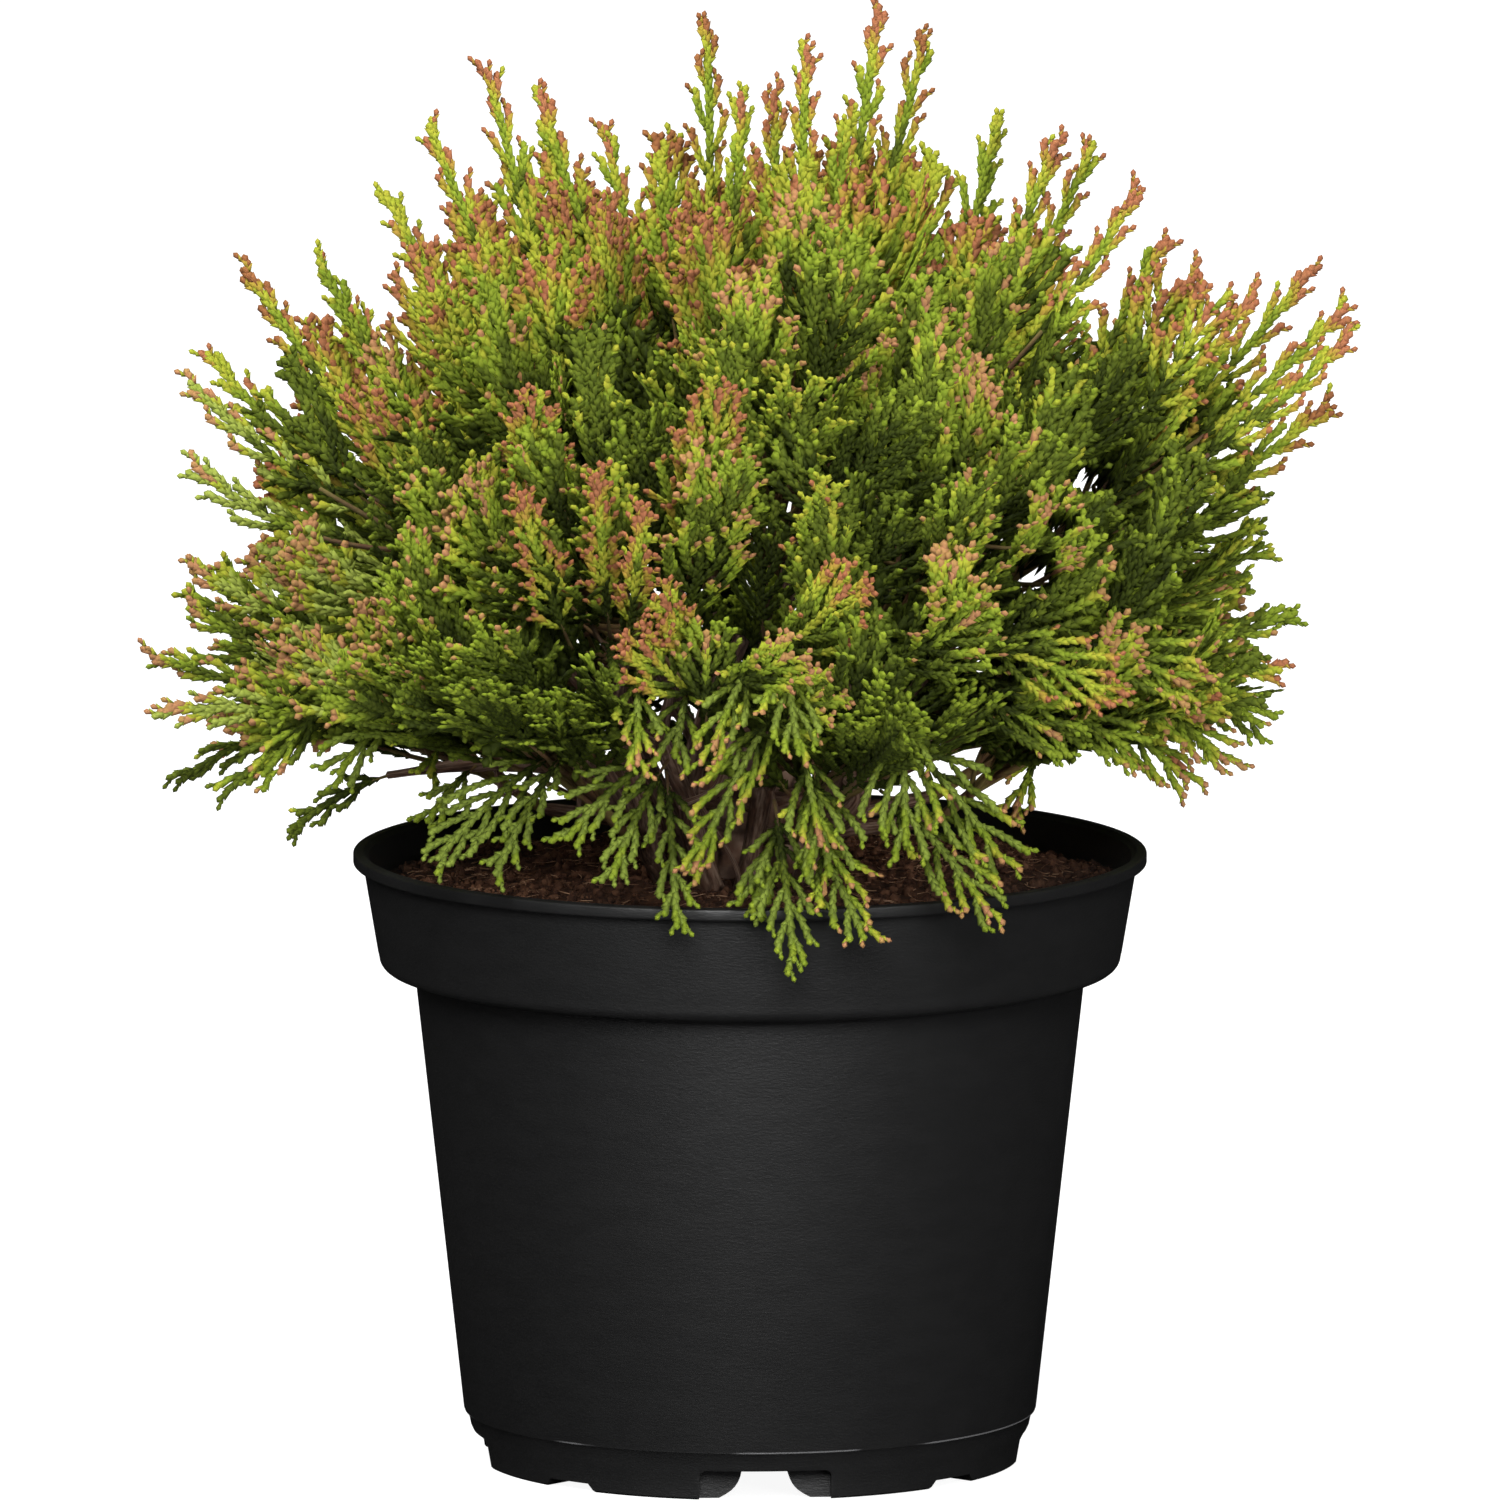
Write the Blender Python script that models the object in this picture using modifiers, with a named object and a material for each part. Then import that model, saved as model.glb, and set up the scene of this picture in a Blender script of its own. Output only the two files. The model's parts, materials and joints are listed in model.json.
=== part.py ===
"""False cypress in a round nursery pot, modelled at its real size in metres, +Z up.

The pot is a thin turned shell on a notched foot and is filled with peat. A short trunk
stands on the peat and forks into boughs in five tiers. Each bough ends where it enters
its own mass of foliage. A mass has one stem, from which twigs branch by a seeded rule,
and each twig carries a spray: a thin toothed blade that bends along the twig's line.
The front of the plant faces -Y.
"""

import math
import random
from dataclasses import dataclass

import bmesh
import bpy
from mathutils import Matrix, Vector
from mathutils.bvhtree import BVHTree

MM = 0.001
UP = Vector((0.0, 0.0, 1.0))
CLEARANCE = 0.3 * MM

# Pot: a 3 litre container, 190 mm across its lip
POT_HEIGHT = 147.0 * MM
LIP_RADIUS = 95.0 * MM
LIP_DEPTH = 3.0 * MM
LIP_WIDTH = 2.75 * MM
LIP_EDGE = 0.7 * MM
LIP_INNER_STEP = 1.0 * MM
LIP_UNDERCUT = 0.8 * MM
COLLAR_TOP_RADIUS = 92.4 * MM
COLLAR_FOOT_RADIUS = 88.8 * MM
COLLAR_FOOT_LEVEL = 118.7 * MM
COLLAR_EDGE = 1.5 * MM
COLLAR_FILLET = 2.0 * MM
BODY_TOP_RADIUS = 80.2 * MM
BODY_TOP_LEVEL = 117.0 * MM
BODY_FOOT_RADIUS = 68.6 * MM
BODY_FOOT_LEVEL = 12.0 * MM
LEDGE_INSET = 1.2 * MM
LEDGE_DROP = 3.4 * MM
WALL = 1.5 * MM
FOOT_TOP_RADIUS = 65.8 * MM
FOOT_TOP_LEVEL = 5.8 * MM
FOOT_RADIUS = 64.8 * MM
FLOOR_LEVEL = 9.0 * MM
POT_STEPS = 36
SHARP_ANGLE = math.radians(35.0)
CUT_BELOW = 1.0 * MM

# Notches in the foot: deep ones that open into a cross of drain channels with a bell
# shaped section, and shallow ones between them
NOTCH_COUNT = 4
FIRST_NOTCH = math.radians(273.3)
NOTCH_WIDTH = 29.0 * MM
NOTCH_HEIGHT = 6.8 * MM
NOTCH_CORNER = 1.2 * MM
NOTCH_TAPER = 0.6 * MM
NOTCH_DEPTH = 4.5 * MM
BELL_TOP_WIDTH = 12.0 * MM
BELL_FOOT_WIDTH = 24.0 * MM
BELL_RISE = NOTCH_HEIGHT - 0.2 * MM
BELL_STEPS = 4
SHALLOW_WIDTH = 17.0 * MM
SHALLOW_HEIGHT = 2.0 * MM
SHALLOW_SLOPE = 2.5 * MM
SHALLOW_DEPTH = 10.0 * MM

# Peat
PEAT_WALL_LEVEL = 138.5 * MM
PEAT_MIDDLE_LEVEL = 142.0 * MM
PEAT_RINGS = (0.3, 0.55, 0.8, 1.0)

# Trunk: a flat cut on the peat, a root flare, a slight lean and the fork
TRUNK_FOOT = PEAT_MIDDLE_LEVEL + CLEARANCE
TRUNK_TOP = 177.0 * MM
FLARE_RADIUS = 17.0 * MM
TRUNK_RADIUS = 12.0 * MM
FORK_RADIUS = 9.6 * MM
TRUNK_LEAN = -1.5 * MM
FLARE_SHARE = 0.35
TRUNK_RINGS = (1.0, 0.6, FLARE_SHARE, 0.2, 0.08, 0.0)
TRUNK_STEPS = 16

# Crown: a broad dome measured from a root point on the trunk's line
CROWN_ROOT = Vector((0.0, 0.0, 150.0 * MM))
CROWN_HALF_WIDTH = 137.0 * MM
CROWN_HEIGHT = 195.0 * MM
CROWN_SQUARENESS = 2.8
CROWN_JITTER = 0.05
FLOOR_ELEVATION = 0.5
FRONT_FLOOR_ELEVATION = -9.0
FRONT_AZIMUTH = 270.0
FRONT_SPREAD = 30.0
STEEPEST_FLOOR = -60.0

# Boughs: each leaves the trunk's side, or its top, with a small gap
BOUGH_GAP = 0.7 * MM
BOUGH_TIP_RADIUS = 1.5 * MM
BOUGH_REACH = 0.36
BOUGH_POINTS = 5
BOUGH_HANDLE = 0.45
SIDE_BOUGH_RISE = 0.15
TOP_BOUGH_SPREAD = 0.25

# Masses of foliage: a stem past the bough's tip, and twigs with toothed blades
STEM_GAP = 0.6 * MM
STEM_RADIUS = 1.8 * MM
STEM_TIP_RADIUS = 1.1 * MM
STEM_SIDES = 5
STEM_REACH = 0.64
CELL_MARGIN = 0.25 * MM
WIDEST_CELL = math.radians(34.0)
EDGE_ALLOWANCE = math.radians(1.5)
GOLDEN_ANGLE = math.radians(137.508)
SWING_JITTER = 0.25
FIRST_ROOT = 0.98
ROOT_SPAN = 0.9
LOWEST_ROOT = 0.05
TWIG_SHARE = 0.18
TWIG_HANDLE = 0.45
TWIG_LIFT = 0.1
DROOP_SHARE = 0.35
SPRAY_HALF_WIDTH = 17.0 * MM
NARROWEST = 0.85
WIDEST = 1.1
RIB_HALF_WIDTH = 1.0 * MM
RIB_HEIGHT = 1.5 * MM
RIB_FOOT = 0.35
TWIG_SIZE = 0.6
TWIG_SIDES = 3
TOOTH_PAIRS = 3
TOOTH_FORWARD = 0.55
SWELL_START = 0.3
SWELL_SPAN = 0.5
ROLL_TRIES = 12
NARROWING = 0.95

# Colours and roughness of the finishes
PLASTIC_BLACK = (0.018, 0.018, 0.019)
PLASTIC_ROUGHNESS = 0.55
PEAT_BROWN = (0.022, 0.012, 0.008)
PEAT_ROUGHNESS = 0.95
BARK_BROWN = (0.13, 0.085, 0.065)
BARK_ROUGHNESS = 0.85
SPRAY_GREEN = (0.10, 0.20, 0.035)
SPRAY_GOLD = (0.24, 0.25, 0.05)
SPRAY_ROUGHNESS = 0.6


@dataclass(frozen=True)
class Tier:
    """A ring of boughs and their masses at one elevation of the crown, in degrees."""

    name: str
    count: int
    first_azimuth: float
    elevation: float
    bough_level: float
    fork_ring: float
    bough_radius: float
    droop: float
    sprays: int


@dataclass(frozen=True)
class Lump:
    """A place where the crown reaches further, or less far, than its plain dome."""

    azimuth: float
    elevation: float
    extra: float
    spread: float


@dataclass(frozen=True)
class Window:
    """A cone of directions with no sprays, which shows the stems inside."""

    azimuth: float
    elevation: float
    half_angle: float


TIERS = (
    Tier("skirt", 7, 26.0, 8.0, 151.5 * MM, 0.0, 2.7 * MM, 0.10, 13),
    Tier("lower", 7, 20.0, 25.0, 159.5 * MM, 0.0, 2.7 * MM, 0.03, 14),
    Tier("middle", 6, 5.0, 44.0, 168.5 * MM, 0.0, 2.6 * MM, -0.05, 15),
    Tier("upper", 5, -8.0, 65.0, TRUNK_TOP, 7.2 * MM, 2.2 * MM, -0.08, 14),
    Tier("top", 2, 0.0, 82.0, TRUNK_TOP, 2.3 * MM, 2.0 * MM, -0.04, 11),
)

LUMPS = (
    Lump(0.0, 40.0, 21.0 * MM, 12.0),
    Lump(0.0, 8.0, -20.0 * MM, 9.0),
    Lump(0.0, 61.0, -8.0 * MM, 8.0),
    Lump(0.0, 80.0, 8.0 * MM, 6.0),
    Lump(180.0, 87.0, 4.0 * MM, 5.0),
    Lump(180.0, 80.0, -26.0 * MM, 4.0),
    Lump(180.0, 48.0, 9.0 * MM, 8.0),
    Lump(180.0, 17.0, 13.0 * MM, 11.0),
    Lump(180.0, 2.0, -12.0 * MM, 7.0),
    Lump(270.0, 5.0, -14.0 * MM, 25.0),
)

STEM_WINDOW = Window(264.0, 11.0, 13.0)


def clear_scene() -> None:
    """Remove every object that the file starts with."""
    for item in list(bpy.data.objects):
        bpy.data.objects.remove(item, do_unlink=True)


def make_material(name: str, colour: tuple, roughness: float) -> bpy.types.Material:
    """Make a plain material that is never metallic."""
    material = bpy.data.materials.new(name)
    material.use_nodes = True
    shader = material.node_tree.nodes["Principled BSDF"]
    shader.inputs["Base Color"].default_value = (*colour, 1.0)
    shader.inputs["Roughness"].default_value = roughness
    shader.inputs["Metallic"].default_value = 0.0
    return material


def add_object(name: str, mesh, collection, material=None) -> bpy.types.Object:
    """Make an object from a mesh and put it in a collection."""
    item = bpy.data.objects.new(name, mesh)
    collection.objects.link(item)
    if material:
        mesh.materials.append(material)
    return item


def mesh_from(name: str, shape: bmesh.types.BMesh) -> bpy.types.Mesh:
    """Write a bmesh to a new mesh and free it."""
    mesh = bpy.data.meshes.new(name)
    shape.to_mesh(mesh)
    shape.free()
    return mesh


def unit(azimuth: float, elevation: float) -> Vector:
    """Return the unit direction of an azimuth and an elevation in degrees."""
    a = math.radians(azimuth)
    e = math.radians(elevation)
    return Vector((math.cos(e) * math.cos(a), math.cos(e) * math.sin(a), math.sin(e)))


def turned(name: str, profile: list, steps: int, collection, material) -> bpy.types.Object:
    """Turn an (r, z) profile, which starts and ends on the axis, about the Z axis."""
    shape = bmesh.new()
    corners = [shape.verts.new((r, 0.0, z)) for r, z in profile]
    for first, second in zip(corners, corners[1:]):
        shape.edges.new((first, second))
    item = add_object(name, mesh_from(name, shape), collection, material)
    screw = item.modifiers.new("turn", "SCREW")
    screw.angle = math.tau
    screw.steps = steps
    screw.render_steps = steps
    screw.use_merge_vertices = True
    screw.merge_threshold = 0.00001
    mesh = bpy.data.meshes.new_from_object(evaluated(item))
    item.modifiers.clear()
    item.data = mesh
    mesh.shade_smooth()
    mesh.set_sharp_from_angle(angle=SHARP_ANGLE)
    return item


def evaluated(item) -> bpy.types.Object:
    """Return an object as the viewport evaluates it."""
    bpy.context.view_layer.update()
    return item.evaluated_get(bpy.context.evaluated_depsgraph_get())


def inner_wall() -> list:
    """Return the pot's inner section from its floor to its lip."""
    collar_inner = COLLAR_FOOT_RADIUS - WALL
    return [
        (BODY_FOOT_RADIUS - WALL, FLOOR_LEVEL),
        (BODY_TOP_RADIUS - WALL, BODY_TOP_LEVEL + WALL),
        (collar_inner - COLLAR_FILLET, COLLAR_FOOT_LEVEL + WALL),
        (collar_inner, COLLAR_FOOT_LEVEL + WALL + COLLAR_FILLET),
        (LIP_RADIUS - LIP_WIDTH - LIP_INNER_STEP, POT_HEIGHT - LIP_INNER_STEP),
    ]


def pot_profile() -> list:
    """Return the pot's section: up the inside, over the lip and down the outside."""
    return [
        (0.0, FLOOR_LEVEL),
        *inner_wall(),
        (LIP_RADIUS - LIP_WIDTH, POT_HEIGHT),
        (LIP_RADIUS - LIP_EDGE, POT_HEIGHT),
        (LIP_RADIUS, POT_HEIGHT - LIP_EDGE),
        (LIP_RADIUS, POT_HEIGHT - LIP_DEPTH),
        (COLLAR_TOP_RADIUS, POT_HEIGHT - LIP_DEPTH - LIP_UNDERCUT),
        (COLLAR_FOOT_RADIUS, COLLAR_FOOT_LEVEL + COLLAR_EDGE),
        (COLLAR_FOOT_RADIUS - COLLAR_EDGE, COLLAR_FOOT_LEVEL),
        (BODY_TOP_RADIUS, BODY_TOP_LEVEL),
        (BODY_FOOT_RADIUS, BODY_FOOT_LEVEL),
        (BODY_FOOT_RADIUS - LEDGE_INSET, BODY_FOOT_LEVEL - LEDGE_DROP),
        (FOOT_TOP_RADIUS, FOOT_TOP_LEVEL),
        (FOOT_RADIUS, 0.0),
        (0.0, 0.0),
    ]


def radial_cutter(name: str, section: list, inner: float, outer: float, angle: float, cutters):
    """Make a cutter that runs outwards along one radius, from a (width, z) section."""
    shape = bmesh.new()
    base = [shape.verts.new((inner, width, z)) for width, z in section]
    face = shape.faces.new(base)
    grown = bmesh.ops.extrude_face_region(shape, geom=[face])
    moved = [piece for piece in grown["geom"] if isinstance(piece, bmesh.types.BMVert)]
    bmesh.ops.translate(shape, verts=moved, vec=(outer - inner, 0.0, 0.0))
    bmesh.ops.rotate(shape, verts=shape.verts, cent=(0, 0, 0), matrix=Matrix.Rotation(angle, 3, "Z"))
    bmesh.ops.recalc_face_normals(shape, faces=shape.faces)
    item = add_object(name, mesh_from(name, shape), cutters)
    item.hide_render = True
    item.display_type = "WIRE"
    return item


def notch_section() -> list:
    """Return the deep notch's outline, with its upper corners cut."""
    half = NOTCH_WIDTH / 2
    side = [
        (half - NOTCH_TAPER - NOTCH_CORNER, NOTCH_HEIGHT),
        (half - NOTCH_TAPER, NOTCH_HEIGHT - NOTCH_CORNER),
        (half, -CUT_BELOW),
    ]
    return [(-width, z) for width, z in reversed(side)] + side


def bell_section() -> list:
    """Return the bell outline of the way through the foot, narrow above and wide below."""
    spread = (BELL_FOOT_WIDTH - BELL_TOP_WIDTH) / 2
    side = []
    for step in range(BELL_STEPS + 1):
        turn = math.pi / 2 * step / BELL_STEPS
        width = BELL_TOP_WIDTH / 2 + spread * (1 - math.cos(turn))
        side.append((width, BELL_RISE * (1 - math.sin(turn))))
    side.append((BELL_FOOT_WIDTH / 2, -CUT_BELOW))
    return [(-width, z) for width, z in reversed(side)] + side


def shallow_section() -> list:
    """Return the shallow notch's outline with its sloped ends."""
    half = SHALLOW_WIDTH / 2
    side = [(half - SHALLOW_SLOPE, SHALLOW_HEIGHT), (half, 0.0), (half, -CUT_BELOW)]
    return [(-width, z) for width, z in reversed(side)] + side


def make_pot(parts, cutters, material) -> bpy.types.Object:
    """Make the pot and cut the notches of its foot."""
    pot = turned("pot", pot_profile(), POT_STEPS, parts, material)
    outside = LIP_RADIUS
    half_turn = math.pi / NOTCH_COUNT
    cuts = []
    for number in range(NOTCH_COUNT):
        angle = FIRST_NOTCH + 2.0 * half_turn * number
        deep = FOOT_RADIUS - NOTCH_DEPTH
        shallow = FOOT_RADIUS - SHALLOW_DEPTH
        cuts.append((f"notch_{number + 1}", notch_section(), deep, angle))
        cuts.append((f"shallow_{number + 1}", shallow_section(), shallow, angle + half_turn))
        if number < NOTCH_COUNT / 2:
            cuts.append((f"channel_{number + 1}", bell_section(), -outside, angle))
    for name, section, inner, angle in cuts:
        cut = pot.modifiers.new(name, "BOOLEAN")
        cut.operation = "DIFFERENCE"
        cut.solver = "EXACT"
        cut.object = radial_cutter(name, section, inner, outside, angle, cutters)
    return pot


def make_peat(parts, material) -> bpy.types.Object:
    """Make the peat that fills the pot, a little higher in the middle."""
    wall = inner_wall()
    low, high = wall[-2:]
    share = (PEAT_WALL_LEVEL - low[1]) / (high[1] - low[1])
    edge = low[0] + share * (high[0] - low[0]) - CLEARANCE
    crest = PEAT_MIDDLE_LEVEL - PEAT_WALL_LEVEL
    profile = [(0.0, PEAT_MIDDLE_LEVEL)]
    for ring in PEAT_RINGS:
        profile.append((edge * ring, PEAT_MIDDLE_LEVEL - crest * ring * ring))
    profile += [(r - CLEARANCE, z + CLEARANCE) for r, z in reversed(wall[:-1])]
    profile.append((0.0, wall[0][1] + CLEARANCE))
    return turned("peat", profile, POT_STEPS, parts, material)


def trunk_radius(level: float) -> float:
    """Return the trunk's radius at a level, with the flare at its foot."""
    share = (level - TRUNK_FOOT) / (TRUNK_TOP - TRUNK_FOOT)
    flare = (FLARE_RADIUS - TRUNK_RADIUS) * max(0.0, 1.0 - share / FLARE_SHARE) ** 2
    return TRUNK_RADIUS + (FORK_RADIUS - TRUNK_RADIUS) * share + flare


def trunk_axis(level: float) -> Vector:
    """Return the trunk's middle at a level; it leans a little to the left."""
    share = (level - TRUNK_FOOT) / (TRUNK_TOP - TRUNK_FOOT)
    return Vector((TRUNK_LEAN * share, 0.0, level))


def make_trunk(parts, material) -> bpy.types.Object:
    """Make the trunk from its flat cut on the peat to its fork."""
    profile = [(0.0, TRUNK_TOP)]
    for ring in TRUNK_RINGS:
        level = TRUNK_FOOT + ring * (TRUNK_TOP - TRUNK_FOOT)
        profile.append((trunk_radius(level), level))
    profile.append((0.0, TRUNK_FOOT))
    trunk = turned("trunk", profile, TRUNK_STEPS, parts, material)
    for corner in trunk.data.vertices:
        corner.co.x += trunk_axis(corner.co.z).x
    return trunk


@dataclass
class Mass:
    """One mass of foliage: its tier, its direction and its neighbours' directions."""

    name: str
    tier: Tier
    azimuth: float
    axis: Vector
    neighbours: list

    def cell_angle(self, side: Vector) -> float:
        """Return how far the mass's space reaches from its axis towards one side."""
        limit = WIDEST_CELL
        for other in self.neighbours:
            across = side.dot(other)
            if across > 0:
                limit = min(limit, math.atan2(1.0 - self.axis.dot(other), across))
        return limit

    def holds(self, points: list) -> bool:
        """Tell whether all points lie inside the mass's own space."""
        for other in self.neighbours:
            wall = (self.axis - other).normalized()
            if min((point - CROWN_ROOT).dot(wall) for point in points) < CELL_MARGIN:
                return False
        return True


def crown_reach(direction: Vector) -> float:
    """Return the crown's reach from its root point in one direction."""
    across = math.hypot(direction.x, direction.y) / CROWN_HALF_WIDTH
    rise = abs(direction.z) / CROWN_HEIGHT
    power = CROWN_SQUARENESS
    reach = (across**power + rise**power) ** (-1.0 / power)
    for lump in LUMPS:
        away = math.degrees(direction.angle(unit(lump.azimuth, lump.elevation)))
        reach += lump.extra * math.exp(-((away / lump.spread) ** 2))
    return reach


def plan_masses() -> list:
    """Lay out the masses tier by tier and give each the directions round it."""
    masses = []
    for tier in TIERS:
        for number in range(tier.count):
            azimuth = tier.first_azimuth + 360.0 * number / tier.count
            name = f"{tier.name}_{number + 1}"
            masses.append(Mass(name, tier, azimuth, unit(azimuth, tier.elevation), []))
    axes = [mass.axis for mass in masses]
    for mass in masses:
        mass.neighbours = [axis for axis in axes if axis is not mass.axis]
        front = abs(mass.azimuth - FRONT_AZIMUTH) < FRONT_SPREAD
        floor = FRONT_FLOOR_ELEVATION if front else FLOOR_ELEVATION
        below = max(2.0 * floor - mass.tier.elevation, STEEPEST_FLOOR)
        mass.neighbours.append(unit(mass.azimuth, below))
    return masses


def bezier(start: Vector, handle: Vector, end: Vector, share: float) -> Vector:
    """Return a point of a curve with one handle."""
    rest = 1.0 - share
    return start * (rest * rest) + handle * (2.0 * rest * share) + end * (share * share)


def bough_line(mass: Mass) -> list:
    """Return the points of a mass's bough, from the trunk to where the mass begins."""
    end = CROWN_ROOT + mass.axis * (crown_reach(mass.axis) * BOUGH_REACH)
    outward = unit(mass.azimuth, 0.0)
    if mass.tier.fork_ring == 0.0:
        middle = trunk_axis(mass.tier.bough_level)
        start = middle + outward * (trunk_radius(middle.z) + BOUGH_GAP)
        heading = outward + UP * SIDE_BOUGH_RISE
    else:
        start = trunk_axis(TRUNK_TOP) + outward * mass.tier.fork_ring + UP * BOUGH_GAP
        heading = UP + outward * TOP_BOUGH_SPREAD
    handle = start + heading * (BOUGH_HANDLE * (end - start).length)
    return [bezier(start, handle, end, step / (BOUGH_POINTS - 1)) for step in range(BOUGH_POINTS)]


def make_bough(mass: Mass, parts, material) -> bpy.types.Object:
    """Make one bough as a tapering limb."""
    curve = bpy.data.curves.new(f"bough_{mass.name}", "CURVE")
    curve.dimensions = "3D"
    curve.bevel_depth = mass.tier.bough_radius
    curve.bevel_resolution = 1
    curve.use_fill_caps = True
    line = bough_line(mass)
    spline = curve.splines.new("POLY")
    spline.points.add(len(line) - 1)
    for step, (corner, place) in enumerate(zip(spline.points, line)):
        corner.co = (*place, 1.0)
        share = step / (len(line) - 1)
        corner.radius = 1.0 + (BOUGH_TIP_RADIUS / mass.tier.bough_radius - 1.0) * share
    return add_object(f"bough_{mass.name}", curve, parts, material)


def cone_between(shape, start: Vector, end: Vector, radius: float, tip_radius: float) -> None:
    """Add a tapering stem from one point to another."""
    line = end - start
    turn = line.to_track_quat("Z", "Y").to_matrix().to_4x4()
    place = Matrix.Translation((start + end) / 2) @ turn
    bmesh.ops.create_cone(shape, cap_ends=True, cap_tris=False, segments=STEM_SIDES, radius1=radius,
                          radius2=tip_radius, depth=line.length, matrix=place)


def spray_shape(line: list, across: Vector, half_width: float) -> bmesh.types.BMesh:
    """Make a twig that carries a toothed blade, along a bent line.

    The first stretch of the line is the bare three-sided twig, with its root in the stem.
    Each later stretch has a pair of pointed teeth that stand out of the rib's two upper
    faces, and the last point is the tip.
    """
    shape = bmesh.new()
    stations = []
    sides = []
    for step, place in enumerate(line[:-1]):
        ahead = (line[step + 1] - place).normalized()
        side = (across - ahead * across.dot(ahead)).normalized()
        size = 1.0 if step else TWIG_SIZE
        rib = side * (RIB_HALF_WIDTH * size)
        foot = side.cross(ahead) * (-RIB_FOOT * RIB_HEIGHT * size)
        ridge = side.cross(ahead) * ((1.0 - RIB_FOOT) * RIB_HEIGHT * size)
        corners = (place + foot - rib, place + foot + rib, place + ridge)
        stations.append([shape.verts.new(corner) for corner in corners])
        sides.append(side)
    shape.faces.new(stations[0])
    for step, (near, far) in enumerate(zip(stations, stations[1:])):
        shape.faces.new((near[0], near[1], far[1], far[0]))
        ahead = line[step + 1] - line[step]
        swell = math.sin(math.pi * (SWELL_START + SWELL_SPAN * (step - 1) / TOOTH_PAIRS))
        for hand, low in ((-1.0, 0), (1.0, 1)):
            ring = (near[low], far[low], far[2], near[2])
            if step == 0:
                shape.faces.new(ring)
                continue
            out = sides[step] * (hand * half_width * swell)
            tooth = shape.verts.new(line[step + 1] + ahead * TOOTH_FORWARD + out)
            for first, second in zip(ring, ring[1:] + ring[:1]):
                shape.faces.new((first, second, tooth))
    tip = shape.verts.new(line[-1])
    last = stations[-1]
    for first, second in zip(last, last[1:] + last[:1]):
        shape.faces.new((first, second, tip))
    bmesh.ops.recalc_face_normals(shape, faces=shape.faces)
    return shape


def blade_tree(shape) -> BVHTree:
    """Return the search tree of a spray without its bare twig."""
    points = [corner.co.copy() for corner in shape.verts]
    twig = set(range(TWIG_SIDES))
    faces = [[corner.index for corner in face.verts] for face in shape.faces]
    return BVHTree.FromPolygons(points, [face for face in faces if not twig & set(face)])


@dataclass
class Guard:
    """A solid that twigs and sprays must stay clear of."""

    tree: BVHTree

    def clear_of(self, points: list, tree: BVHTree) -> bool:
        """Tell whether a shape neither cuts the solid nor comes close to it."""
        if self.tree.overlap(tree):
            return False
        return all(self.tree.find_nearest(point, CLEARANCE)[0] is None for point in points)


def guard_for(item) -> Guard:
    """Make the guard of an object as the viewport evaluates it."""
    mesh = bpy.data.meshes.new_from_object(evaluated(item))
    points = [item.matrix_world @ corner.co for corner in mesh.vertices]
    tree = BVHTree.FromPolygons(points, [tuple(face.vertices) for face in mesh.polygons])
    bpy.data.meshes.remove(mesh)
    return Guard(tree)


def spray_fits(shape, mass: Mass, guards: list, others: list) -> bool:
    """Tell whether a spray keeps to its mass's space, clear of limbs and other sprays."""
    points = [corner.co.copy() for corner in shape.verts]
    if not mass.holds(points):
        return False
    whole = BVHTree.FromBMesh(shape)
    blade = blade_tree(shape)
    for other_whole, other_blade in others:
        if blade.overlap(other_whole) or whole.overlap(other_blade):
            return False
    return all(guard.clear_of(points, whole) for guard in guards)


def spray_line(mass: Mass, number: int, base: Vector, stem_tip: Vector, chance) -> tuple:
    """Return one twig's root on the stem, its handle, its tip on the crown and its direction."""
    fraction = math.sqrt(number / mass.tier.sprays)
    swing = GOLDEN_ANGLE * number + chance.uniform(-SWING_JITTER, SWING_JITTER)
    first = mass.axis.orthogonal().normalized()
    second = mass.axis.cross(first)
    side = first * math.cos(swing) + second * math.sin(swing)
    lean = max(0.0, mass.cell_angle(side) - EDGE_ALLOWANCE) * fraction
    direction = mass.axis * math.cos(lean) + side * math.sin(lean)
    reach = crown_reach(direction) * (1.0 - chance.uniform(0.0, CROWN_JITTER) * (number > 0))
    tip = CROWN_ROOT + direction * reach
    root = base.lerp(stem_tip, max(LOWEST_ROOT, FIRST_ROOT - ROOT_SPAN * fraction))
    middle = root.lerp(tip, TWIG_HANDLE)
    lift = mass.axis * (TWIG_LIFT * (tip - root).length)
    handle = middle + lift + UP * (mass.tier.droop * DROOP_SHARE * reach)
    return root, handle, tip, direction


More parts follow.
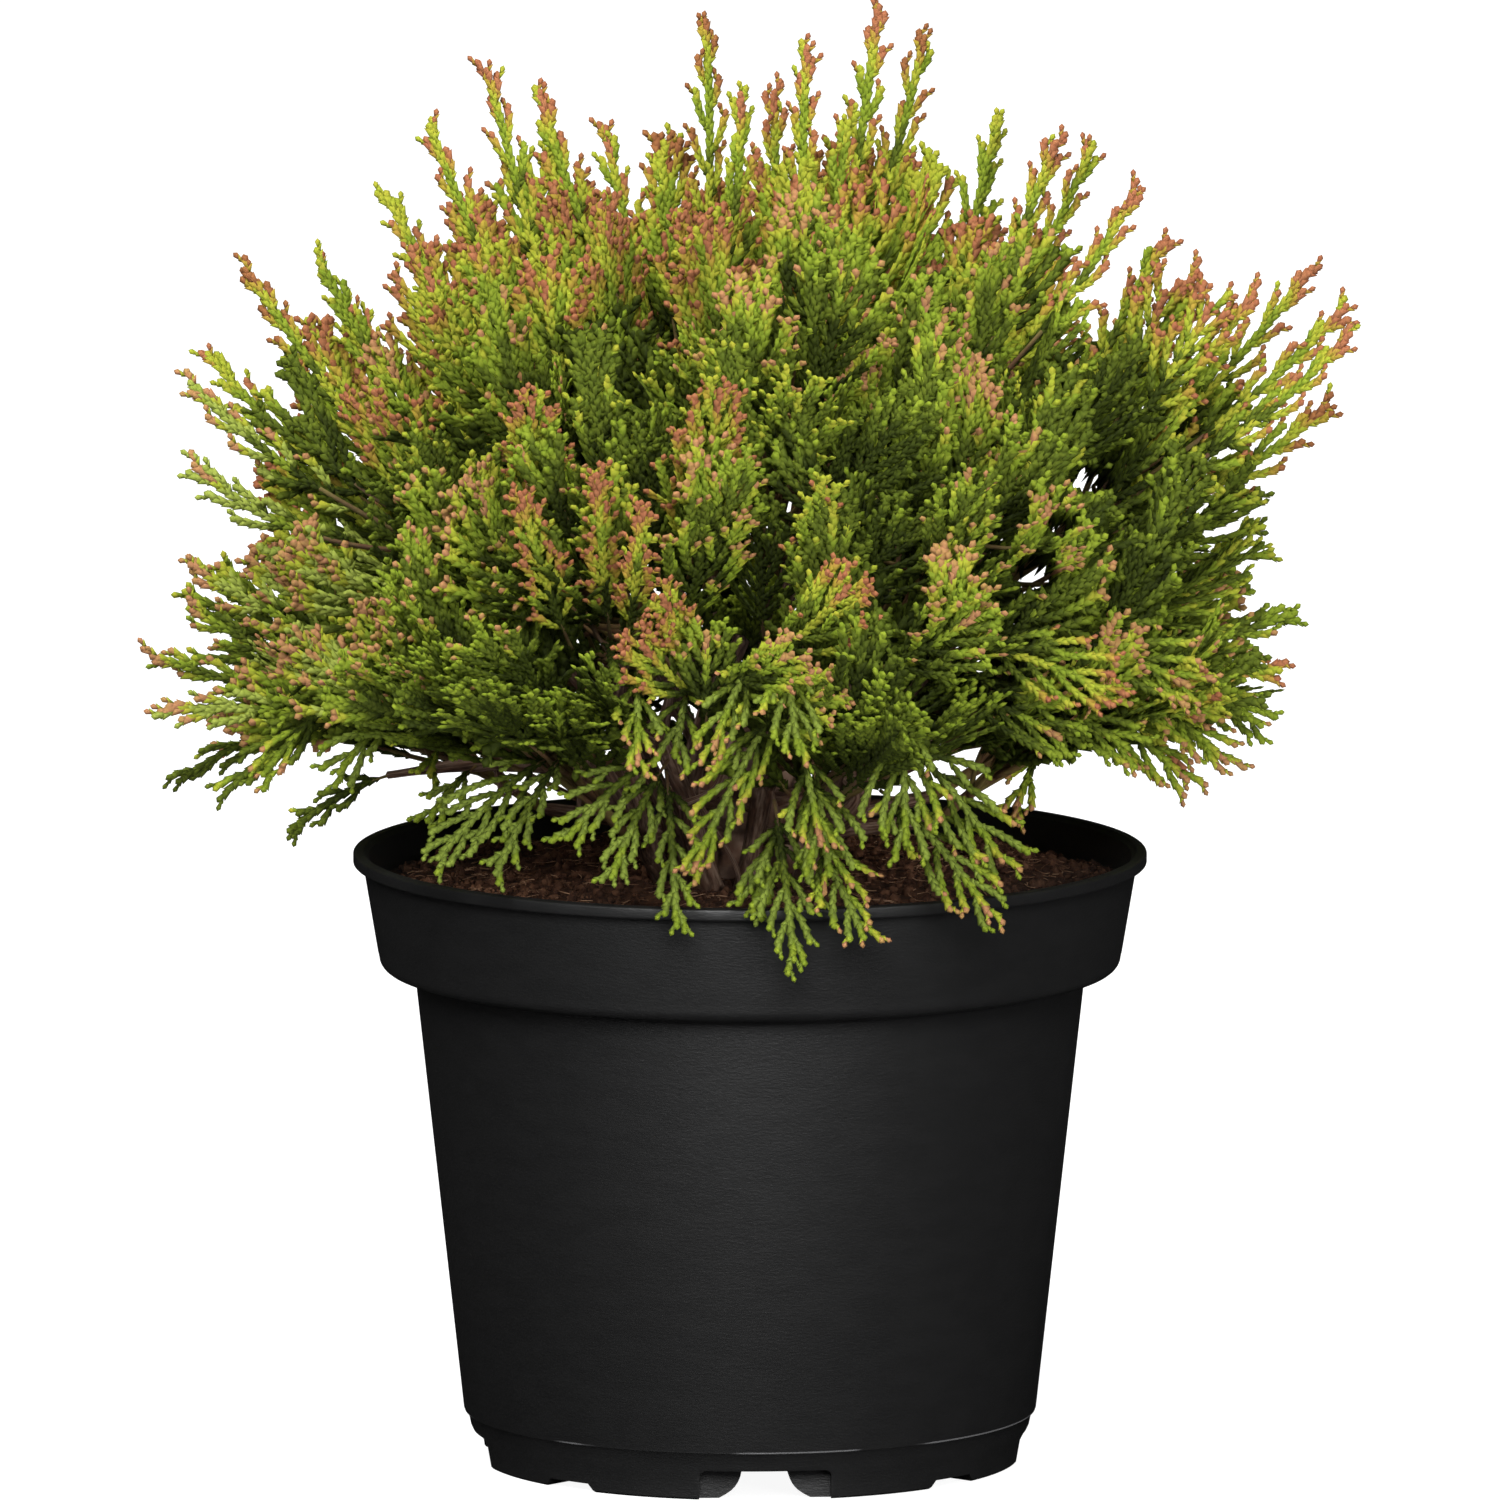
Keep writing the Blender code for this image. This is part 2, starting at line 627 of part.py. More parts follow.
def grow_mass(mass: Mass, guards: list, parts, material) -> bpy.types.Object:
    """Grow a mass: the stem, its twigs and their sprays, fused into one solid."""
    reach = crown_reach(mass.axis)
    bough = bough_line(mass)
    heading = (bough[-1] - bough[-2]).normalized()
    base = bough[-1] + heading * STEM_GAP
    stem_tip = CROWN_ROOT + mass.axis * (reach * STEM_REACH)
    stem = bmesh.new()
    cone_between(stem, base, stem_tip, STEM_RADIUS, STEM_TIP_RADIUS)
    name = f"foliage_{mass.name}"
    item = add_object(name, mesh_from(name, stem), parts, material)
    loose = bpy.data.collections.new(f"sprays_{mass.name}")
    bpy.context.scene.collection.children.link(loose)
    window = unit(STEM_WINDOW.azimuth, STEM_WINDOW.elevation)
    others = []
    for number in range(mass.tier.sprays):
        chance = random.Random(f"{mass.name}-{number}")
        root, handle, tip, direction = spray_line(mass, number, base, stem_tip, chance)
        if math.degrees(direction.angle(window)) < STEM_WINDOW.half_angle:
            continue
        line = [root]
        for step in range(TOOTH_PAIRS + 2):
            share = TWIG_SHARE + (1.0 - TWIG_SHARE) * step / (TOOTH_PAIRS + 1)
            line.append(bezier(root, handle, tip, share))
        flat = (tip - root).orthogonal().normalized()
        width = SPRAY_HALF_WIDTH * chance.uniform(NARROWEST, WIDEST)
        for _ in range(ROLL_TRIES):
            roll = chance.uniform(0.0, math.pi)
            across = Matrix.Rotation(roll, 3, tip - root) @ flat
            spray = spray_shape(line, across, width)
            if spray_fits(spray, mass, guards, others):
                others.append((BVHTree.FromBMesh(spray), blade_tree(spray)))
                add_object(f"spray_{mass.name}_{number}", mesh_from("spray", spray), loose)
                break
            spray.free()
            width *= NARROWING
    fuse(item, loose)
    return item


def fuse(item, loose) -> None:
    """Join a collection's solids to an object and remove the collection's objects."""
    plain = item.data.copy()
    for solver in ("EXACT", "MANIFOLD"):
        union = item.modifiers.new("union", "BOOLEAN")
        union.operation = "UNION"
        union.solver = solver
        union.operand_type = "COLLECTION"
        union.collection = loose
        mesh = bpy.data.meshes.new_from_object(evaluated(item))
        item.modifiers.clear()
        keep_outer_body(mesh)
        if is_closed(mesh):
            item.data = mesh
            break
        item.data = plain
    for piece in list(loose.objects):
        bpy.data.objects.remove(piece, do_unlink=True)
    bpy.data.collections.remove(loose)


def keep_outer_body(mesh) -> None:
    """Keep the largest connected body: a scrap is dropped and a sealed hollow is filled."""
    shape = bmesh.new()
    shape.from_mesh(mesh)
    bmesh.ops.triangulate(shape, faces=shape.faces)
    groups = connected(shape)
    largest = max(groups, key=len)
    others = [face for group in groups if group is not largest for face in group]
    bmesh.ops.delete(shape, geom=others, context="FACES")
    shape.to_mesh(mesh)
    shape.free()


def connected(shape) -> list:
    """Return the groups of faces that hang together by their edges."""
    groups = []
    seen = set()
    for first in shape.faces:
        if first in seen:
            continue
        group = []
        waiting = [first]
        seen.add(first)
        while waiting:
            face = waiting.pop()
            group.append(face)
            for edge in face.edges:
                for beside in edge.link_faces:
                    if beside not in seen:
                        seen.add(beside)
                        waiting.append(beside)
        groups.append(group)
    return groups


def is_closed(mesh) -> bool:
    """Tell whether every edge of a mesh has two faces."""
    shape = bmesh.new()
    shape.from_mesh(mesh)
    closed = len(shape.faces) > 0 and all(len(edge.link_faces) == 2 for edge in shape.edges)
    shape.free()
    return closed


def centre_footprint(parts) -> None:
    """Move everything so that the middle of the plant's footprint is the origin."""
    across = []
    along = []
    for item in parts.objects:
        solid = evaluated(item)
        corners = solid.to_mesh().vertices
        across += [corner.co.x for corner in corners]
        along += [corner.co.y for corner in corners]
        solid.to_mesh_clear()
    for item in bpy.data.objects:
        item.location.x -= (min(across) + max(across)) / 2
        item.location.y -= (min(along) + max(along)) / 2


def main() -> None:
    """Build the pot, the peat, the trunk, the boughs and the masses."""
    clear_scene()
    scene = bpy.context.scene
    parts = bpy.data.collections.new("potted_false_cypress")
    cutters = bpy.data.collections.new("cutters")
    scene.collection.children.link(parts)
    scene.collection.children.link(cutters)
    plastic = make_material("black plastic", PLASTIC_BLACK, PLASTIC_ROUGHNESS)
    peat = make_material("peat", PEAT_BROWN, PEAT_ROUGHNESS)
    bark = make_material("bark", BARK_BROWN, BARK_ROUGHNESS)
    leaf_green = make_material("green sprays", SPRAY_GREEN, SPRAY_ROUGHNESS)
    leaf_gold = make_material("golden sprays", SPRAY_GOLD, SPRAY_ROUGHNESS)
    pot = make_pot(parts, cutters, plastic)
    fill = make_peat(parts, peat)
    trunk = make_trunk(parts, bark)
    masses = plan_masses()
    boughs = [make_bough(mass, parts, bark) for mass in masses]
    guards = [guard_for(item) for item in (pot, fill, trunk, *boughs)]
    for mass in masses:
        low = mass.tier.name in ("skirt", "lower")
        grow_mass(mass, guards, parts, leaf_green if low else leaf_gold)
    centre_footprint(parts)


main()
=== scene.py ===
"""Potted false cypress: the finished pot, peat, bark and foliage round the fixed frame.

Every plain solid of the frame is replaced by a finished mesh in the same place. The crown
grows by the rule of the solids: tiers of masses, a stem in each, twigs set round the stem
and a flat spray at the end of each twig. Here the rule goes on to finer branchlets, which
are covered in scale leaves. Lengths are in metres, +Z is up and the front faces -Y.
"""

import json
import logging
import math
from collections.abc import Iterator
from contextlib import contextmanager
from dataclasses import dataclass, field
from enum import Enum
from itertools import pairwise
from random import Random

import bpy
import numpy as np
from bpy.types import Material, Node, NodeSocket, NodeTree, Object
from mathutils import Matrix, Vector

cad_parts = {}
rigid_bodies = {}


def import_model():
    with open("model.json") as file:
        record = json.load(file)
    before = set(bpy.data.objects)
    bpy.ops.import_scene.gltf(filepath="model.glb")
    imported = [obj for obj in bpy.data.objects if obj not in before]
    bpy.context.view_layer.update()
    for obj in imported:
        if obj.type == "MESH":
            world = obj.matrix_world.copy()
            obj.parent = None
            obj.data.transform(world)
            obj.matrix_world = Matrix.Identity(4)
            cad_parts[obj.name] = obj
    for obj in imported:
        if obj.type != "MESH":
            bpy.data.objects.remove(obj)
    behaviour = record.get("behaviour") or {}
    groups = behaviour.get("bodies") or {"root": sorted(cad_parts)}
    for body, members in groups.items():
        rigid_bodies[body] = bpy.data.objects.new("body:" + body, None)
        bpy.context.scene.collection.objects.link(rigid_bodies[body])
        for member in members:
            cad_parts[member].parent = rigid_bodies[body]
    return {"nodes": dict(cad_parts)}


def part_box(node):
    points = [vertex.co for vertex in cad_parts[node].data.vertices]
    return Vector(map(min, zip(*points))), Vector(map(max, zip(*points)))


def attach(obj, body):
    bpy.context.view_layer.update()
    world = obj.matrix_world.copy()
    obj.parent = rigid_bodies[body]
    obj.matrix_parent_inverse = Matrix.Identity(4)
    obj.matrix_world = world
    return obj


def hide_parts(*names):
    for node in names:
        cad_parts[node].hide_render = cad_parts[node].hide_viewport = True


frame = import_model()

Array = np.ndarray

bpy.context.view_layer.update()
MM = 0.001
UP = Vector((0.0, 0.0, 1.0))
BODY = "root"
LOG = logging.getLogger("potted_false_cypress")
FRONT = 270.0
CAMERA_ELEVATION = 8.4
AIM_MM = 171.1


def pot_axis() -> Vector:
    """Return the point where the pot's axis meets the surface that it stands on."""
    low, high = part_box("pot")
    return Vector(((low.x + high.x) / 2, (low.y + high.y) / 2, low.z))


AXIS = pot_axis()


def unit(azimuth: float, elevation: float) -> Vector:
    """Return the unit direction of an azimuth and an elevation in degrees.

    Args:
        azimuth: The turn about +Z from +X.
        elevation: The angle above the level.

    Returns:
        The direction.
    """
    turn = math.radians(azimuth)
    rise = math.radians(elevation)
    return Vector((math.cos(rise) * math.cos(turn), math.cos(rise) * math.sin(turn), math.sin(rise)))


def bezier(start: Vector, handle: Vector, end: Vector, share: float) -> Vector:
    """Return a point of a curve with one handle."""
    rest = 1.0 - share
    return start * (rest * rest) + handle * (2.0 * rest * share) + end * (share * share)


def swung(axis: Vector, swing: tuple[float, float], chance: Random) -> Vector:
    """Return a direction swung off another one, to any side.

    Args:
        axis: The direction to swing off.
        swing: The least and the largest angle in degrees.
        chance: The random draws.

    Returns:
        The direction, one unit long.
    """
    angle = math.radians(chance.uniform(*swing))
    turn = Matrix.Rotation(chance.uniform(0.0, math.tau), 3, axis)
    side = turn @ axis.orthogonal().normalized()
    return (axis * math.cos(angle) + side * math.sin(angle)).normalized()


def node_names(prefix: str) -> list[str]:
    """Return the names of the frame's nodes that start with a prefix."""
    return sorted(name for name in frame["nodes"] if name.startswith(prefix))


# Modelling by hand


def activate(item: Object) -> None:
    """Deselect everything, then select one object and make it the active one.

    Args:
        item: The object.
    """
    for other in bpy.context.view_layer.objects:
        other.select_set(False)
    item.select_set(True)
    bpy.context.view_layer.objects.active = item


@contextmanager
def editing(item: Object) -> Iterator[None]:
    """Put one object in edit mode with all of its mesh selected.

    Args:
        item: The object to edit.

    Yields:
        Nothing, while the object is in edit mode.
    """
    activate(item)
    bpy.ops.object.mode_set(mode="EDIT")
    bpy.ops.mesh.select_all(action="SELECT")
    yield
    bpy.ops.object.mode_set(mode="OBJECT")


def settle(item: Object, name: str) -> Object:
    """Name an object and apply its place, turn and size to its mesh.

    Args:
        item: The object to settle at the origin.
        name: The name for the object and its mesh.

    Returns:
        The same object.
    """
    activate(item)
    bpy.ops.object.transform_apply(location=True, rotation=True, scale=True)
    item.name = name
    item.data.name = name
    return item


def lathe(name: str, outline: list[tuple[float, float]], steps: int) -> Object:
    """Turn an outline about the pot's axis.

    Args:
        name: The name of the new object.
        outline: Points of (radius, level), from one pole to the other.
        steps: The number of steps round the axis.

    Returns:
        The turned object, with its normals pointing out.
    """
    radius, level = outline[0]
    bpy.ops.mesh.primitive_plane_add(size=MM, location=(AXIS.x + radius, AXIS.y, level))
    item = settle(bpy.context.object, name)
    with editing(item):
        bpy.ops.mesh.merge(type="CENTER")
        for near, far in pairwise(outline):
            step = (far[0] - near[0], 0.0, far[1] - near[1])
            bpy.ops.mesh.extrude_vertices_move(TRANSFORM_OT_translate={"value": step})
        bpy.ops.mesh.select_all(action="SELECT")
        bpy.ops.mesh.spin(steps=steps, angle=math.tau, center=(AXIS.x, AXIS.y, 0.0), axis=UP)
        bpy.ops.mesh.select_all(action="SELECT")
        bpy.ops.mesh.remove_doubles(threshold=0.001 * MM)
        bpy.ops.mesh.normals_make_consistent(inside=False)
    return item


def arc(centre: tuple[float, float], radius: float, first: float, last: float, steps: int) -> list:
    """Return points of an arc in (radius, level), with its angles in degrees.

    Args:
        centre: The arc's centre.
        radius: The arc's radius.
        first: The angle of the first point, from the direction away from the axis.
        last: The angle of the last point.
        steps: The number of steps along the arc.

    Returns:
        The points, both ends among them.
    """
    turns = [math.radians(first + (last - first) * step / steps) for step in range(steps + 1)]
    return [(centre[0] + radius * math.cos(t), centre[1] + radius * math.sin(t)) for t in turns]


def mesh_object(name: str, points: Array, faces: Array) -> Object:
    """Make an object from arrays of points and triangles.

    Args:
        name: The object's name.
        points: Corner positions, one row each.
        faces: Corner numbers, three in each row.

    Returns:
        The new object, in the scene.
    """
    mesh = bpy.data.meshes.new(name)
    mesh.vertices.add(len(points))
    mesh.vertices.foreach_set("co", points.astype(np.float32).ravel())
    mesh.loops.add(faces.size)
    mesh.loops.foreach_set("vertex_index", faces.astype(np.int32).ravel())
    mesh.polygons.add(len(faces))
    mesh.polygons.foreach_set("loop_start", np.arange(0, faces.size, 3, dtype=np.int32))
    mesh.update(calc_edges=True)
    item = bpy.data.objects.new(name, mesh)
    bpy.context.scene.collection.objects.link(item)
    return item


def finish_piece(item: Object, material: Material, stands_for: list[str]) -> None:
    """Give a piece its material and its body, and hide the frame's nodes that it replaces.

    Args:
        item: The finished piece.
        material: The piece's only material.
        stands_for: The frame's nodes that the piece replaces.
    """
    item.data.materials.clear()
    item.data.materials.append(material)
    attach(item, BODY)
    if stands_for:
        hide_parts(*stands_for)
    item.data.calc_loop_triangles()
    LOG.info("%s: %d triangles", item.name, len(item.data.loop_triangles))


# Finishes


class Graph:
    """Short calls that place and join the nodes of one shader tree."""

    def __init__(self, tree: NodeTree) -> None:
        """Keep the tree that the nodes go into."""
        self.tree = tree

    def node(self, kind: str, inputs: dict | None = None, **settings: object) -> Node:
        """Add a node.

        Args:
            kind: The node's type name.
            inputs: Values or sockets for the node's inputs, by name or number.
            **settings: Values for the node's own properties.

        Returns:
            The new node.
        """
        made = self.tree.nodes.new(kind)
        for name, value in settings.items():
            setattr(made, name, value)
        for name, value in (inputs or {}).items():
            if isinstance(value, NodeSocket):
                self.tree.links.new(value, made.inputs[name])
            else:
                made.inputs[name].default_value = value
        return made

    def noise(self, place: NodeSocket, scale: object, detail: float = 2.0) -> NodeSocket:
        """Add a noise pattern.

        Args:
            place: The coordinates that it reads.
            scale: Its scale, as a number or a socket.
            detail: Its number of finer layers.

        Returns:
            The pattern's value socket.
        """
        values = {"Vector": place, "Scale": scale, "Detail": detail}
        return self.node("ShaderNodeTexNoise", values).outputs["Fac"]

    def ramp(self, value: NodeSocket, low: float, high: float) -> NodeSocket:
        """Add a smooth step that is 0 at the low value and 1 at the high one.

        Args:
            value: The value to step.
            low: Where the step starts.
            high: Where the step ends.

        Returns:
            The step's value socket.
        """
        values = {"Value": value, "From Min": low, "From Max": high}
        made = self.node("ShaderNodeMapRange", values, interpolation_type="SMOOTHSTEP")
        return made.outputs["Result"]

    def maths(self, operation: str, first: object, second: object) -> NodeSocket:
        """Add a sum or product of two values.

        Args:
            operation: The name of the operation.
            first: A number or a socket.
            second: A number or a socket.

        Returns:
            The result's socket.
        """
        return self.node("ShaderNodeMath", {0: first, 1: second}, operation=operation).outputs[0]

    def mix(self, share: object, first: object, second: object) -> NodeSocket:
        """Add a blend of two colours.

        Args:
            share: The second colour's share.
            first: A colour or a socket.
            second: A colour or a socket.

        Returns:
            The colour's socket.
        """
        inputs = {0: share, 6: first, 7: second}
        return self.node("ShaderNodeMix", inputs, data_type="RGBA").outputs[2]


def new_group(name: str, takes: dict, gives: dict) -> tuple[Graph, Node, Node]:
    """Start a shader node group.

    Args:
        name: The group's name.
        takes: The kind of each input socket, by name.
        gives: The kind of each output socket, by name.

    Returns:
        The group's graph, its input node and its output node.
    """
    tree = bpy.data.node_groups.new(name, "ShaderNodeTree")
    for socket, kind in takes.items():
        tree.interface.new_socket(name=socket, in_out="INPUT", socket_type=kind)
    for socket, kind in gives.items():
        tree.interface.new_socket(name=socket, in_out="OUTPUT", socket_type=kind)
    graph = Graph(tree)
    return graph, graph.node("NodeGroupInput"), graph.node("NodeGroupOutput")


NUMBER = "NodeSocketFloat"
COLOUR = "NodeSocketColor"
VECTOR = "NodeSocketVector"


def mottle_group() -> NodeTree:
    """Build the group that blends two colours in soft patches of one size.

    Returns:
        The group.
    """
    takes = {"Place": VECTOR, "First": COLOUR, "Second": COLOUR, "Scale": NUMBER, "Share": NUMBER}
    graph, start, end = new_group("mottle", takes, {"Color": COLOUR, "Mask": NUMBER})
    patches = graph.noise(start.outputs["Place"], start.outputs["Scale"], 3.0)
    mask = graph.maths("MULTIPLY", graph.ramp(patches, 0.36, 0.66), start.outputs["Share"])
    colour = graph.mix(mask, start.outputs["First"], start.outputs["Second"])
    graph.tree.links.new(colour, end.inputs["Color"])
    graph.tree.links.new(mask, end.inputs["Mask"])
    return graph.tree


def grain_group() -> NodeTree:
    """Build the group that gives a fine relief, coarse and fine noise together, as a normal.

    Returns:
        The group.
    """
    takes = {"Place": VECTOR, "Scale": NUMBER, "Depth": NUMBER}
    graph, start, end = new_group("grain", takes, {"Normal": VECTOR})
    coarse = graph.noise(start.outputs["Place"], start.outputs["Scale"], 3.0)
    finer = graph.maths("MULTIPLY", start.outputs["Scale"], 3.7)
    fine = graph.noise(start.outputs["Place"], finer, 2.0)
    height = graph.maths("ADD", coarse, graph.maths("MULTIPLY", fine, 0.5))
    bump = graph.node("ShaderNodeBump", {"Height": height, "Distance": start.outputs["Depth"]})
    graph.tree.links.new(bump.outputs["Normal"], end.inputs["Normal"])
    return graph.tree


MOTTLE = mottle_group()
GRAIN = grain_group()


@dataclass
class Finish:
    """A material in the making: its graph, its shader and the place that patterns read."""

    name: str
    roughness: float
    specular: float = 0.5
    stretch: tuple[float, float, float] = (1.0, 1.0, 1.0)
    coordinates: str = "Object"

    def __post_init__(self) -> None:
        """Make the empty material with its shader and its coordinates."""
        self.material = bpy.data.materials.new(self.name)
        self.material.use_nodes = True
        self.graph = Graph(self.material.node_tree)
        self.shader = self.material.node_tree.nodes["Principled BSDF"]
        self.shader.inputs["Roughness"].default_value = self.roughness
        self.shader.inputs["Specular IOR Level"].default_value = self.specular
        source = self.graph.node("ShaderNodeTexCoord").outputs[self.coordinates]
        mapping = {"Vector": source, "Scale": self.stretch}
        self.place = self.graph.node("ShaderNodeMapping", mapping).outputs[0]

    def mottle(self, first: object, second: object, scale: float, share: float) -> Node:
        """Place the mottle group.

        Args:
            first: The main colour, or a socket.
            second: The colour of the patches.
            scale: The patches per metre.
            share: The most that the second colour covers.

        Returns:
            The group's node.
        """
        values = {"Place": self.place, "First": first, "Second": second, "Scale": scale, "Share": share}
        return self.graph.node("ShaderNodeGroup", values, node_tree=MOTTLE)

    def grain(self, scale: float, depth: float) -> None:
        """Place the grain group and give its normal to the shader.

        Args:
            scale: The grains per metre.
            depth: The relief's depth.
        """
        values = {"Place": self.place, "Scale": scale, "Depth": depth}
        made = self.graph.node("ShaderNodeGroup", values, node_tree=GRAIN)
        self.graph.tree.links.new(made.outputs["Normal"], self.shader.inputs["Normal"])

    def colour(self, source: NodeSocket) -> None:
        """Give a colour to the shader."""
        self.graph.tree.links.new(source, self.shader.inputs["Base Color"])

    def rough(self, source: NodeSocket) -> None:
        """Give a roughness that changes over the surface to the shader."""
        self.graph.tree.links.new(source, self.shader.inputs["Roughness"])


def rgba(red: float, green: float, blue: float) -> tuple[float, float, float, float]:
    """Return an opaque colour."""
    return (red, green, blue, 1.0)


def grey(value: float) -> tuple[float, float, float, float]:
    """Return an opaque grey."""
    return rgba(value, value, value)


@dataclass(frozen=True)
class BlackPlastic:
    """The pot's matt black plastic: a fine grain drawn out sideways, and a broken painted highlight along the
    ledge.
    """

    colour: tuple = rgba(0.0068, 0.0068, 0.0070)
    pale: tuple = rgba(0.0080, 0.0080, 0.0082)
    # Colour of the painted highlight line along the ledge.
    ledge_glint: tuple = rgba(0.12, 0.12, 0.124)
    roughness: float = 0.5
    rougher: float = 0.03
    specular: float = 0.85
    patch_scale: float = 90.0
    patch_share: float = 0.6
    grain_scale: float = 620.0
    grain_depth: float = 0.075 * MM
    grain_flatness: float = 3.0
    ledge_level: float = 12.0 * MM
    ledge_band: float = 0.26 * MM
    ledge_core: float = 0.55
    glint_scale: float = 26.0
    glint_detail: float = 4.0
    glint_steps: tuple[float, float] = (0.50, 0.57)

    def build(self) -> Material:
        """Build the material, with a broken line of painted highlight along the ledge.

        Returns:
            The material.
        """
        finish = Finish("black_plastic", self.roughness, self.specular, (1.0, 1.0, self.grain_flatness))
        patches = finish.mottle(self.colour, self.pale, self.patch_scale, self.patch_share)
        finish.grain(self.grain_scale, self.grain_depth)
        graph = finish.graph
        source = graph.node("ShaderNodeTexCoord").outputs["Object"]
        level = graph.node("ShaderNodeSeparateXYZ", {"Vector": source}).outputs["Z"]
        # Painted highlight: a thin, broken light line round the ledge stands in for light glinting on its
        # edge.
        distance = graph.maths("ABSOLUTE", graph.maths("SUBTRACT", level, self.ledge_level), 0.0)
        band = graph.ramp(distance, self.ledge_band, self.ledge_band * self.ledge_core)
        broken = graph.ramp(graph.noise(source, self.glint_scale, self.glint_detail), *self.glint_steps)
        glint = graph.maths("MULTIPLY", band, broken)
        finish.colour(graph.mix(glint, patches.outputs["Color"], self.ledge_glint))
        extra = graph.maths("MULTIPLY", patches.outputs["Mask"], self.rougher)
        finish.rough(graph.maths("ADD", self.roughness, extra))
        return finish.material


@dataclass(frozen=True)
class PeatFinish:
    """Dark crumbly peat, or the paler fibres in it."""

    name: str
    dark: tuple
    light: tuple
    scale: float = 420.0
    depth: float = 0.5 * MM
    roughness: float = 0.92
    specular: float = 0.25
    light_share: float = 0.9
    grains_per_patch: float = 2.5

    def build(self) -> Material:
        """Build the material.

        Returns:
            The material.
        """
        finish = Finish(self.name, self.roughness, self.specular)
        patches = finish.mottle(self.dark, self.light, self.scale, self.light_share)
        finish.grain(self.scale * self.grains_per_patch, self.depth)
        finish.colour(patches.outputs["Color"])
        return finish.material


@dataclass(frozen=True)
class BarkFinish:
    """Stringy bark, with its colours drawn out along the limb by its own UV map."""

    base: tuple = rgba(0.120, 0.062, 0.040)
    strip: tuple = rgba(0.25, 0.165, 0.118)
    cleft: tuple = rgba(0.030, 0.014, 0.010)
    along: float = 12.0
    roughness: float = 0.88
    specular: float = 0.25
    strip_scale: float = 9.0
    cleft_scale: float = 17.0
    cleft_share: float = 0.75
    grain_scale: float = 26.0
    depth: float = 0.35 * MM

    def build(self) -> Material:
        """Build the material.

        Returns:
            The material.
        """
        finish = Finish("bark", self.roughness, self.specular, (self.along, 1.0, 1.0), "UV")
        strips = finish.mottle(self.base, self.strip, self.strip_scale, 1.0)
        clefts = finish.mottle(strips.outputs["Color"], self.cleft, self.cleft_scale, self.cleft_share)
        finish.grain(self.grain_scale, self.depth)
        finish.colour(clefts.outputs["Color"])
        return finish.material


@dataclass(frozen=True)
class TwigFinish:
    """The smooth thin bark of the twigs under the leaves."""

    base: tuple = rgba(0.115, 0.060, 0.030)
    second: tuple = rgba(0.150, 0.115, 0.035)
    roughness: float = 0.75
    specular: float = 0.3
    patch_scale: float = 160.0
    grain_scale: float = 1500.0
    depth: float = 0.2 * MM

    def build(self) -> Material:
        """Build the material.

        Returns:
            The material.
        """
        finish = Finish("twig_bark", self.roughness, self.specular)
        patches = finish.mottle(self.base, self.second, self.patch_scale, 1.0)
        finish.grain(self.grain_scale, self.depth)
        finish.colour(patches.outputs["Color"])
        return finish.material


class Tone(Enum):
    """The colours of the scale leaves, from the shaded inside to the coppery tips."""

    DEEP = 0
    MIDDLE = 1
    FRESH = 2
    LIME = 3
    SILVER = 4
    GOLD = 5
    ROSE = 6
    COPPER = 7
    RUST = 8
    FERN = 9


@dataclass(frozen=True)
class LeafFinish:
    """The look of one tone of scale leaves, with painted shade at their roots, where the scale before
    overlaps them.
    """

    name: str
    colour: tuple
    second: tuple
    slot: str = "foliage_green"
    roughness: float = 0.62
    specular: float = 0.08
    patch_scale: float = 420.0
    grain_scale: float = 1400.0
    depth: float = 0.25 * MM
    shaded_root_share: float = 0.6
    shaded_root_steps: tuple[float, float] = (0.66, 0.97)

    def build(self) -> Material:
        """Build the material.

        Returns:
            The material.
        """
        finish = Finish(self.name, self.roughness, self.specular)
        patches = finish.mottle(self.colour, self.second, self.patch_scale, 1.0)
        finish.grain(self.grain_scale, self.depth)
        graph = finish.graph
        # Painted shade: each scale darkens towards its root, under the scale before it.
        shade = graph.node("ShaderNodeAttribute", attribute_name="shade").outputs["Fac"]
        root = rgba(*(self.shaded_root_share * value for value in self.colour[:3]))
        finish.colour(graph.mix(graph.ramp(shade, *self.shaded_root_steps), root, patches.outputs["Color"]))
        return finish.material


GOLD = "foliage_gold"
LEAF_FINISHES = {
    Tone.DEEP: LeafFinish("leaf_deep", rgba(0.030, 0.042, 0.005), rgba(0.048, 0.066, 0.007)),
    Tone.MIDDLE: LeafFinish("leaf_middle", rgba(0.078, 0.108, 0.011), rgba(0.122, 0.158, 0.016)),
    Tone.FRESH: LeafFinish("leaf_fresh", rgba(0.180, 0.250, 0.020), rgba(0.245, 0.310, 0.028)),
    Tone.FERN: LeafFinish("leaf_fern", rgba(0.150, 0.200, 0.029), rgba(0.215, 0.280, 0.042)),
    Tone.LIME: LeafFinish("leaf_lime", rgba(0.325, 0.375, 0.032), rgba(0.370, 0.360, 0.036), GOLD),
    Tone.SILVER: LeafFinish("leaf_silver", rgba(0.260, 0.320, 0.050), rgba(0.340, 0.400, 0.075)),
    Tone.GOLD: LeafFinish("leaf_gold", rgba(0.380, 0.290, 0.036), rgba(0.380, 0.230, 0.045), GOLD),
    Tone.ROSE: LeafFinish("tip_rose", rgba(0.420, 0.200, 0.095), rgba(0.400, 0.235, 0.080), GOLD),
    Tone.COPPER: LeafFinish("tip_copper", rgba(0.370, 0.150, 0.068), rgba(0.330, 0.118, 0.056), GOLD),
    Tone.RUST: LeafFinish("tip_rust", rgba(0.270, 0.105, 0.042), rgba(0.330, 0.140, 0.050), GOLD),
}


# Studio


